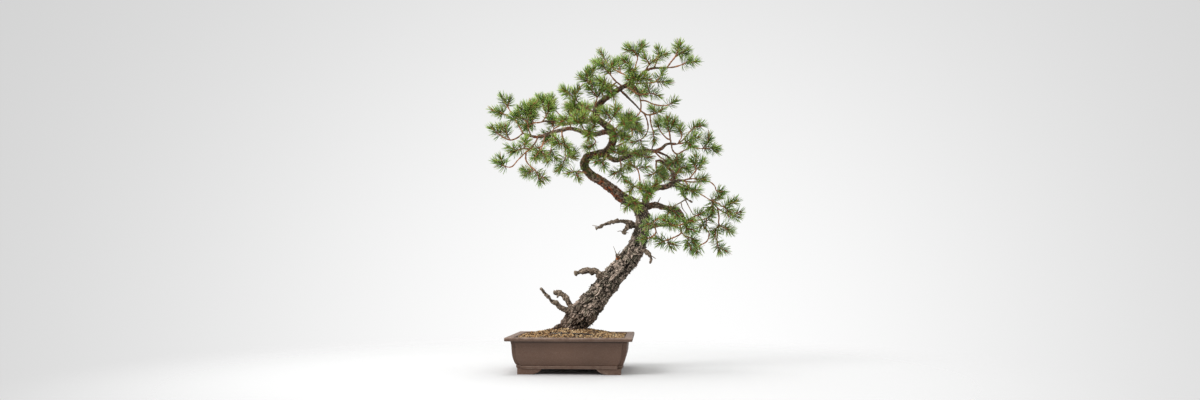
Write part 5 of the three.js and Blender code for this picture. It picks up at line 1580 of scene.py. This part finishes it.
    def blades(self, root: Array, aim: Array, ahead: Array, length: Array, random: Random) -> Shape:
        """Needles as three-sided blades, which bend a little forward and up and narrow to a point.

        At the share u a blade is at its aim times (u - u^2/2) plus its bent aim times u^2/2, both times its
        length.

        Args:
            root: where each needle starts.
            aim: its direction there.
            ahead: its shoot's direction.
            length: how long it is.
            random: the draws.

        Returns:
            The blades.
        """
        rule, count = NEEDLES, len(root)
        stray = random.normal(0, 0.08, (count, 3))
        bent = unit(aim + rule.forward * ahead + np.array([0, 0, rule.rise]) + stray)
        u = np.array(rule.rings)[None, :, None]
        path = aim[:, None] * (u - u**2 / 2) + bent[:, None] * u**2 / 2
        middle = root[:, None] + length[:, None, None] * path
        tip = root + length[:, None] * 0.5 * (aim + bent)
        wide = unit(np.cross(aim, random.normal(0, 1, (count, 3))))[:, None]
        up = np.cross(wide, aim[:, None])
        size = np.array(rule.ring_sizes)[None, :, None]
        wide, up = wide * rule.half_width * size, up * rule.thickness * size
        rings = np.stack([middle + wide, middle + up, middle - wide], axis=2)
        points = np.concatenate([rings.reshape(count, 9, 3), tip[:, None]], axis=1).reshape(-1, 3)
        ends = np.array([[6, 7, 9], [7, 8, 9], [8, 6, 9], [2, 1, 0]])
        quads, triangles = copies(grid_faces(3, 3), 10, count), copies(ends, 10, count)
        tone = np.clip(random.normal(0.5 + self.habit.tint + random.normal(0, 0.08), 0.33, count), 0, 1)
        straw = (random.random(count) < rule.straw_share).astype(float)
        cool = np.clip(self.habit.cool + random.normal(0, 0.2, count), 0, 1)
        reach = np.tile(np.repeat([*rule.rings, 1.0], [3, 3, 3, 1]), count)
        shape = Shape(points, quads, triangles, finish=Look.NEEDLE)
        tone, straw, cool = (np.repeat(value, 10) for value in (tone, straw, cool))
        return shape.with_values(tone=tone, straw=straw, reach=reach, cool=cool)

    def build(self, looks: Sequence[Material]) -> int:
        """Makes the spray's piece.

        Args:
            looks: its materials, in the order of Look.

        Returns:
            How many faces it has.
        """
        random = np.random.default_rng(self.seed)
        shapes = []
        for points, start in self.shoots():
            shapes.append(self.twig(points, start > 0))
            shapes.append(self.needles(points, start, random))
            way = unit(points[-1] - smooth_line(points, np.array([0.96]))[0])
            shapes += self.buds(points[-1], way, random)
            outer = points if start == 0 else smooth_line(points, np.linspace(start, 1, 5))
            sides = self.side_shoots(outer, self.habit.sides, random)
            if start > 0:
                inner = smooth_line(points, np.linspace(0.1, start, 5))
                sides += self.side_shoots(inner, self.habit.inner, random)
            for side in sides:
                shapes += [self.twig(side, False), self.needles(side, 0, random)]
                shapes += self.buds(side[-1], unit(side[-1] - side[-2]), random)[:1]
        name = "spray_" + self.name
        mesh = mesh_of(name + "_needles", shapes)
        Piece(name + "_needles", "needles", (name,)).show(mesh, looks)
        return len(mesh.polygons)


# ---- Pot and soil ----


@dataclass
class Pot:
    """The clay pot: one skin from its underside up the body, over the rim and down inside to the floor.

    The body's outline has a square step cut out of each corner and the rim's has whole corners. Both have
    matching points, so one row of the skin runs on into the next.
    """

    half_x: float = 160
    half_y: float = 134
    height: float = 93
    notch: float = 12
    rim_tall: float = 9
    rim_wide: float = 20
    foot_tall: float = 14
    foot_in: float = 29.5
    foot_thick: float = 14
    foot_long: tuple[float, float] = (62, 50)
    floor: float = 24
    arc: int = 5
    drain_radius: float = 12
    drain_apart: float = 140
    body: tuple = ((22, 26.5), (28, 22.5), (40, 18), (55, 15.5), (73, 14), (81, 12.5), (83.2, 10.8), (84, 9))

    def corner(self, x: float, y: float, radius: float, hollow: bool, first: float) -> Array:
        """A rounded corner: a quarter turn round (x, y) from the angle first, bulging out or hollow."""
        turn = np.radians(first + np.linspace(0, -90 if hollow else 90, self.arc))
        return np.stack([x + radius * np.cos(turn), y + radius * np.sin(turn)], axis=1)

    def quarter_body(self) -> Array:
        """The body's outline from the middle of its right side to the middle of its back."""
        x, y, n, r = self.half_x, self.half_y, self.notch, 2.2
        return np.vstack([
            [[x, 0]], self.corner(x - r, y - n - r, r, False, 0),
            self.corner(x - n + r, y - n + r, r, True, 270),
            self.corner(x - n - r, y - r, r, False, 0), [[0, y]],
        ])

    def quarter_rectangle(self, radius: float, spread: float = 26) -> Array:
        """A rectangle over the same quarter, with as many points.

        Args:
            radius: its corner's radius.
            spread: how far from the corner its extra points start.

        Returns:
            The outline.
        """
        x, y, r = self.half_x, self.half_y, radius
        side = np.linspace(0, 1, self.arc)[:, None]
        up = np.hstack([np.full((self.arc, 1), x), y - spread + (spread - r - 1) * side])
        back = np.hstack([x - r - 1 - (spread - r - 1) * side, np.full((self.arc, 1), y)])
        return np.vstack([[[x, 0]], up, self.corner(x - r, y - r, r, False, 0), back, [[0, y]]])

    @staticmethod
    def whole(quarter: Array) -> Array:
        """The closed outline of a quarter mirrored in both axes, counterclockwise from the right."""
        back = quarter[::-1][1:] * [-1, 1]
        half = np.vstack([quarter, back])
        return np.vstack([half, (half * [1, -1])[::-1][1:-1]])

    @staticmethod
    def drawn_in(outline: Array, inset: float, level: float) -> Array:
        """The outline at a level, with each of its points moved in by inset along both axes."""
        sides = np.where(np.abs(outline) < TINY, 0, np.sign(outline))
        return np.hstack([outline - sides * inset, np.full((len(outline), 1), level)])

    def skin(self) -> Shape:
        """The pot's skin, row by row: (how far in it stands, its level) for the rows of each outline.

        Returns:
            The skin. Edge is 1 where it is worn, and the value for the painted shade is 1 under the rim.
        """
        body, rim = self.whole(self.quarter_body()), self.whole(self.quarter_rectangle(4))
        inside = self.whole(self.quarter_rectangle(12, 40))
        belt = [(30, 14), (28.2, 14.1), (27.0, 14.7), (26.5, 15.8), (25.6, 18.5), (24.9, 20.8), (25.1, 21.6),
                (26.0, 22.1), (26.6, 22.3)]
        levels, insets = np.array(self.body).T
        fine = np.array([23, 24.5, 27, 30, 34, 38, 43, 48, 54, 60, 66, 72, 76, 79, 81, 82.4, 83.2, 83.7])
        line = smooth_line(np.stack([levels, insets, 0 * levels], axis=1), np.linspace(0, 1, 200))
        side = [(float(np.interp(z, line[:, 0], line[:, 1])), z) for z in fine]
        top, low, wide = self.height, self.height - self.rim_tall, self.rim_wide
        edge = [(9, low), (3, low), (1.2, low + 0.1), (0.3, low + 0.5), (0, low + 1.3), (-0.15, low + 4.5),
                (0, top - 1.5), (0.35, top - 0.6), (1.3, top - 0.05), (4, top + 0.1)]
        over = [(10, top + 0.05), (wide - 1.6, top), (wide - 0.5, top - 0.5), (wide, top - 1.6), (wide, low),
                (23, 73), (24.5, 55), (27, 40), (31.5, 28), (33.9, 24.6), (36, 24)]
        rows = [self.drawn_in(body, i, z) for i, z in belt + side]
        rows += [self.drawn_in(rim, i, z) for i, z in edge]
        rows += [self.drawn_in(inside, i, z) for i, z in over]
        rings = np.stack(rows)
        shape = lofted(rings, np.array([0, 0, self.foot_tall]), np.array([0, 0, self.floor]))
        count = rings.shape[1]
        worn = np.zeros(len(rows))
        start = len(belt) + len(side)
        worn[[2, 3, 5, 6]] = 0.5
        worn[start + 2:start + 5] = 0.3
        worn[start + 6:start + 10] = 1
        worn[start + 10:start + 13] = 0.9
        # painted shade: strongest at the neck under the rim, fading down the body and out along the rim's
        # underside and lower face
        neck_shade_rows = np.zeros(len(rows))
        neck_shade_rows[start - 5:start + 1] = (0.2, 0.6, 0.9, 1, 1, 1)
        neck_shade_rows[start + 1:start + 6] = (0.8, 0.4, 0.3, 0.25, 0.12)
        return shape.with_values(edge=np.append(np.repeat(worn, count), [0, 0]),
                                 grime=np.append(np.repeat(neck_shade_rows, count), [0, 0]))

    def leg(self, long: float, thick: float, along_x: bool, sign_x: int, sign_y: int) -> Shape:
        """One leg of a corner foot, as long as its side of the foot.

        Its side view stands flat for half its length and then rises in a parabola. The view is carried
        across the leg's thickness, and drawn in a little at both faces so that its edges are soft.

        Args:
            long: its length.
            thick: its thickness.
            along_x: whether it runs along x, or else along y.
            sign_x: its corner's side in x.
            sign_y: and in y.

        Returns:
            The leg.
        """
        t = np.linspace(0, 1, 9)
        heel, tall = 0.52 * long, self.foot_tall + 1.0
        curve_x = (1 - t) ** 2 * heel + 2 * t * (1 - t) * 0.86 * long + t**2 * long
        curve_z = 2 * t * (1 - t) * 0.12 * self.foot_tall + t**2 * self.foot_tall
        outline = np.array([[0.8, 0], *zip(curve_x, curve_z), [long, tall], [0, tall], [0, 0.8]])
        middle = outline.mean(axis=0)
        rows = []
        near, far = ((0, 0.8), (0.25, 0.3), (0.8, 0)), ((thick - 0.8, 0), (thick - 0.25, 0.3), (thick, 0.8))
        for depth, draw in near + far:
            flat = outline - np.sign(outline - middle) * draw * np.array([1, 0.6])
            rows.append(np.stack([flat[:, 0], np.full(len(flat), depth), flat[:, 1].clip(0)], axis=1))
        rings = np.stack(rows)
        corner_x, corner_y = self.half_x - self.foot_in, self.half_y - self.foot_in
        if along_x:
            x, y = corner_x - rings[..., 0], corner_y - rings[..., 1]
        else:
            x, y = corner_x - rings[..., 1], corner_y - rings[..., 0]
        rings = np.stack([x * sign_x, y * sign_y, rings[..., 2]], axis=-1)
        if (sign_x * sign_y > 0) != along_x:
            rings = rings[:, ::-1]
        return lofted(rings).with_values(edge=0.2)

    def build(self, look: Material) -> None:
        """Makes the pot: the skin joined with its eight legs, less its two drain holes."""
        pot = object_of("pot_body", mesh_of("pot_body", [self.skin()]))
        corners = [(x, y) for x in (-1, 1) for y in (-1, 1)]
        legs = [self.leg(long, self.foot_thick, long == self.foot_long[0], x, y)
                for long in self.foot_long for x, y in corners]
        feet = object_of("pot_feet", mesh_of("pot_feet", legs))
        line = np.array([[0, 0, 5], [0, 0, 35]], float)
        drills = [tube(line + [side * self.drain_apart / 2, 0, 0], np.full(2, self.drain_radius), 48, 0)
                  for side in (-1, 1)]
        drill = object_of("pot_drill", mesh_of("pot_drill", drills))
        for other, operation in ((feet, "UNION"), (drill, "DIFFERENCE")):
            cut = pot.modifiers.new(operation, "BOOLEAN")
            cut.object, cut.operation, cut.solver, cut.use_self = other, operation, "EXACT", True
        mesh = finished_mesh(pot, "pot_clay")
        for helper in (feet, drill):
            bpy.data.objects.remove(helper)
        mesh.set_sharp_from_angle(angle=math.radians(38))
        mesh.materials.clear()
        Piece("pot_clay", "pot", ("pot",)).show(mesh, [look])


@dataclass
class Soil:
    """Gravel over the packed soil, which stays as its bed: thousands of small stones on a jittered lattice.

    A stone is a twenty-sided solid with uneven corners, drawn out along its axes and turned at random.
    """

    edge: float = 87
    mound: float = 24.5
    reach: float = 105
    ripple: float = 2.0
    inner_x: float = 139
    inner_y: float = 113
    pitch: float = 4.3
    layers: tuple[tuple[float, ...], ...] = ((1.0, 2.0, 3.2), (0.74, 1.2, 2.0))
    seed: int = 5

    def top(self, x: Array, y: Array) -> Array:
        """The soil's level: its edge, a bell-shaped mound at the trunk's foot, and a low uneven ripple."""
        foot = VIEW.place([TRUNK[1]])[0]
        away = np.hypot(x - foot[0], (y - foot[1]) * 1.15)
        share = np.clip(np.minimum((160 - np.abs(x)) / 40, (134 - np.abs(y)) / 40), 0, 1)
        ripple = np.sin(0.2 * x + 1.1 * np.sin(0.13 * y)) * np.sin(0.21 * y + 1.3 * np.sin(0.11 * x))
        return self.edge + share * (self.mound * np.exp(-((away / self.reach) ** 2)) + self.ripple * ripple)

    def stones(self, centres: Array, sizes: Array, random: Random) -> Shape:
        """Stones with these centres and radii, each with a tone of its own."""
        golden = (1 + math.sqrt(5)) / 2
        signs = np.array([(-1, 1), (1, 1), (-1, -1), (1, -1)])
        flat = np.hstack([signs * [1, golden], np.zeros((4, 1))])
        corners = unit(np.vstack([flat, flat[:, [2, 0, 1]], flat[:, [1, 2, 0]]]))
        sides = np.array([
            (0, 11, 5), (0, 5, 1), (0, 1, 7), (0, 7, 10), (0, 10, 11), (1, 5, 9), (5, 11, 4), (11, 10, 2),
            (10, 7, 6), (7, 1, 8), (3, 9, 4), (3, 4, 2), (3, 2, 6), (3, 6, 8), (3, 8, 9), (4, 9, 5),
            (2, 4, 11), (6, 2, 10), (8, 6, 7), (9, 8, 1)])
        count = len(centres)
        stretch = random.uniform(0.65, 1.3, (count, 1, 3))
        shape = corners[None] * stretch * random.uniform(0.72, 1.22, (count, 12, 1)) * sizes[:, None, None]
        turns = np.linalg.qr(random.normal(0, 1, (count, 3, 3)))[0]
        turns = turns * np.sign(np.linalg.det(turns))[:, None, None]
        points = (np.einsum("nij,nkj->nki", turns, shape) + centres[:, None]).reshape(-1, 3)
        tone = np.repeat(random.random(count), 12)
        return Shape(points, triangles=copies(sides, 12, count)).with_values(tone=tone)

    def layer(self, spacing: float, small: float, big: float, bark: BarkMap, random: Random) -> Shape:
        """One layer of stones, clear of the wood.

        Args:
            spacing: its lattice's pitch against the full one.
            small: the least radius.
            big: the greatest.
            bark: where the wood is.
            random: the draws.

        Returns:
            The stones.
        """
        pitch = self.pitch * spacing
        xs, ys = (np.arange(-half, half, pitch) for half in (self.inner_x, self.inner_y))
        x, y = (g.ravel() for g in np.meshgrid(xs, ys))
        x, y = (g + random.uniform(-0.6, 0.6, len(g)) * pitch for g in (x, y))
        sizes = blend(small, big, random.random(len(x)) ** 1.4)
        z = self.top(x, y) + random.uniform(-0.6, 0.35, len(x)) * sizes
        centres = np.stack([x, y, z], axis=1)
        at = bark.nearest(centres)
        clear = np.linalg.norm(centres - bark.line[at], axis=1) > bark.radii[at] - 1
        inside = (np.abs(x) + sizes < self.inner_x) & (np.abs(y) + sizes < self.inner_y)
        keep = clear & inside
        return self.stones(centres[keep], sizes[keep], random)

    def build(self, bark: BarkMap, grit: Material, bed: Material) -> None:
        """Makes the gravel and gives the packed soil its dark finish."""
        random = np.random.default_rng(self.seed)
        shapes = [self.layer(*layer, bark, random) for layer in self.layers]
        mesh = mesh_of("soil_gravel", shapes)
        mesh.shade_flat()
        Piece("soil_gravel", "soil").show(mesh, [grit])
        dress("soil", bed)


def dress(node: str, look: Material) -> None:
    """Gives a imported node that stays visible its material."""
    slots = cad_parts[node].data.materials
    slots.clear()
    slots.append(look)
    LOG.info("%s: %s", node, look.name)


@dataclass
class TieWire:
    """The wire that holds the root ball: (x, y, height over the soil) for each of its points."""

    points: tuple = ((-66, -66, -22), (-60, -68, -4), (-50, -72, 1.4), (-24, -80, 2.4), (6, -84, 2.4),
                     (38, -80, 2.2), (68, -72, 1.6), (88, -66, 0.4), (97, -63, -5), (100, -61, -22))
    radius: float = 1.1

    def build(self, soil: Soil, look: Material) -> None:
        """Makes the wire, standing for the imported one."""
        x, y, lift = np.array(self.points, float).T
        line, _ = evened(np.stack([x, y, soil.top(x, y) + lift], axis=1), 1.5)
        mesh = mesh_of("tie_wire_round", [tube(line, np.full(len(line), self.radius), 12)])
        Piece("tie_wire_round", "wire", ("tie_wire",)).show(mesh, [look])


# ---- Studio ----


@dataclass(frozen=True)
class Softbox:
    """A square soft light: where it stands, how wide and strong it is, and its tint."""

    name: str
    place: tuple[float, float, float]
    size: float
    power: float
    tint: tuple[float, float, float] = (1, 1, 1)


@dataclass
class Studio:
    """A floor that fades into a pale sky, lightest low behind the tree, soft lights, and the camera."""

    sky_edge: float = 0.605
    sky_glow: float = 0.416
    glow_power: float = 6
    glow_way: tuple[float, float, float] = (0.045, 0.989, -0.139)
    floor_tint: tuple = (226, 226, 226)
    floor_full: float = 0.25
    floor_end: float = 1.4
    aim: tuple[float, float, float] = (0, 0, 0.5)
    boxes: tuple[Softbox, ...] = (
        Softbox("key", (-2.6, -2.0, 2.9), 1.7, 96),
        Softbox("top", (-0.2, 0.1, 3.4), 1.8, 44),
        Softbox("back", (1.6, 2.8, 2.2), 1.6, 16),
    )

    def floor(self) -> None:
        """A flat floor under the pot's feet, which fades out with the distance from the pot's middle."""
        reach = self.floor_end + 0.2
        corners = reach * np.array([[-1, -1, 0], [1, -1, 0], [1, 1, 0], [-1, 1, 0]], float)
        mesh = mesh_of("floor", [Shape(corners, np.array([[0, 1, 2, 3]]))], 1.0, np.zeros(3))
        paint = Paint("floor", self.floor_tint, 0.9, 0.0)
        place = paint.node("ShaderNodeTexCoord").outputs["Object"]
        middle = tuple(float(c) for c in FOOT_MIDDLE)
        away = paint.node("ShaderNodeVectorMath", {"operation": "DISTANCE"}, {0: place, 1: middle})
        away = Reading(paint, away.outputs["Value"])
        paint.feed("Alpha", 1 - away.step(self.floor_full, self.floor_end))
        mesh.materials.append(paint.material)
        object_of("floor", mesh)

    def sky_light(self) -> None:
        """A pale sky: its edge's brightness, plus a glow times a power of the cosine of the angle to it."""
        world = bpy.data.worlds.new("sky")
        world.use_nodes = True
        graph = Graph(world.node_tree)
        turn = math.radians(VIEW.turn)
        x, y, z = self.glow_way
        middle = (math.cos(turn) * x - math.sin(turn) * y, math.sin(turn) * x + math.cos(turn) * y, z)
        way = graph.node("ShaderNodeTexCoord").outputs["Generated"]
        cosine = graph.node("ShaderNodeVectorMath", {"operation": "DOT_PRODUCT"}, {0: way, 1: middle})
        glow = Reading(graph, cosine.outputs["Value"]).maximum(0).power(self.glow_power)
        sky = world.node_tree.nodes["Background"]
        sky.inputs["Color"].default_value = (1, 1, 1, 1)
        world.node_tree.links.new((glow * self.sky_glow + self.sky_edge).socket, sky.inputs["Strength"])
        bpy.context.scene.world = world

    def light(self, box: Softbox) -> None:
        """Sets up one soft light, turned to face the aim."""
        lamp = bpy.data.lights.new(box.name, "AREA")
        lamp.shape, lamp.size, lamp.energy, lamp.color = "SQUARE", box.size, box.power, box.tint
        lit = bpy.data.objects.new(box.name, lamp)
        bpy.context.scene.collection.objects.link(lit)
        way = np.array(self.aim) - np.array(box.place)
        lit.location = box.place
        down = math.acos(-way[2] / np.linalg.norm(way))
        lit.rotation_euler = (down, 0, math.atan2(way[1], way[0]) - math.pi / 2)

    def camera(self) -> None:
        """The camera, where the front view's viewer stands."""
        lens = bpy.data.cameras.new("camera")
        lens.lens = VIEW.focal / (2 * VIEW.middle[0]) * lens.sensor_width
        eye = bpy.data.objects.new("camera", lens)
        bpy.context.scene.collection.objects.link(eye)
        turn = math.radians(VIEW.turn)
        c, s = math.cos(turn), math.sin(turn)
        x, y = VIEW.aside * METRES, -VIEW.distance * METRES
        eye.location = FOOT_MIDDLE + np.array([c * x - s * y, s * x + c * y, VIEW.height * METRES])
        eye.rotation_euler = (math.pi / 2 + VIEW.tilt, 0, turn)
        bpy.context.scene.camera = eye

    def build(self) -> None:
        """Sets the whole studio up."""
        self.floor()
        self.sky_light()
        for box in self.boxes:
            self.light(box)
        self.camera()
        bpy.context.scene.view_settings.view_transform = "Standard"


def main() -> None:
    """Builds the studio, the pot, the soil, the wood and the sprays."""
    logging.basicConfig(level=logging.INFO, format="%(message)s")
    Studio().build()
    Pot().build(ClayFinish().material())
    stems = tree_stems()
    bark = BarkMap(stems)
    soil = Soil()
    soil.build(bark, GritFinish().material(), PlainFinish("soil_bed", (62, 44, 31), 0.95).material())
    TieWire().build(soil, PlainFinish("tie_wire", (52, 60, 70), 0.4, 0.7).material())
    screen = PlainFinish("drain_screen", (28, 29, 30), 0.7).material()
    for node in ("drain_screen_left", "drain_screen_right"):
        dress(node, screen)
    Wood(stems).build(bark, BarkFinish().material())
    looks = [TwigFinish().material(), NeedleFinish().material(), BudFinish().material()]
    sprays = [Spray(name, parts, seed, Habit.of(name)) for seed, (name, parts) in enumerate(SPRAYS, 100)]
    LOG.info("sprays: %d faces in all", sum(spray.build(looks) for spray in sprays))
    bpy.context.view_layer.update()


if __name__ == "__main__":
    main()
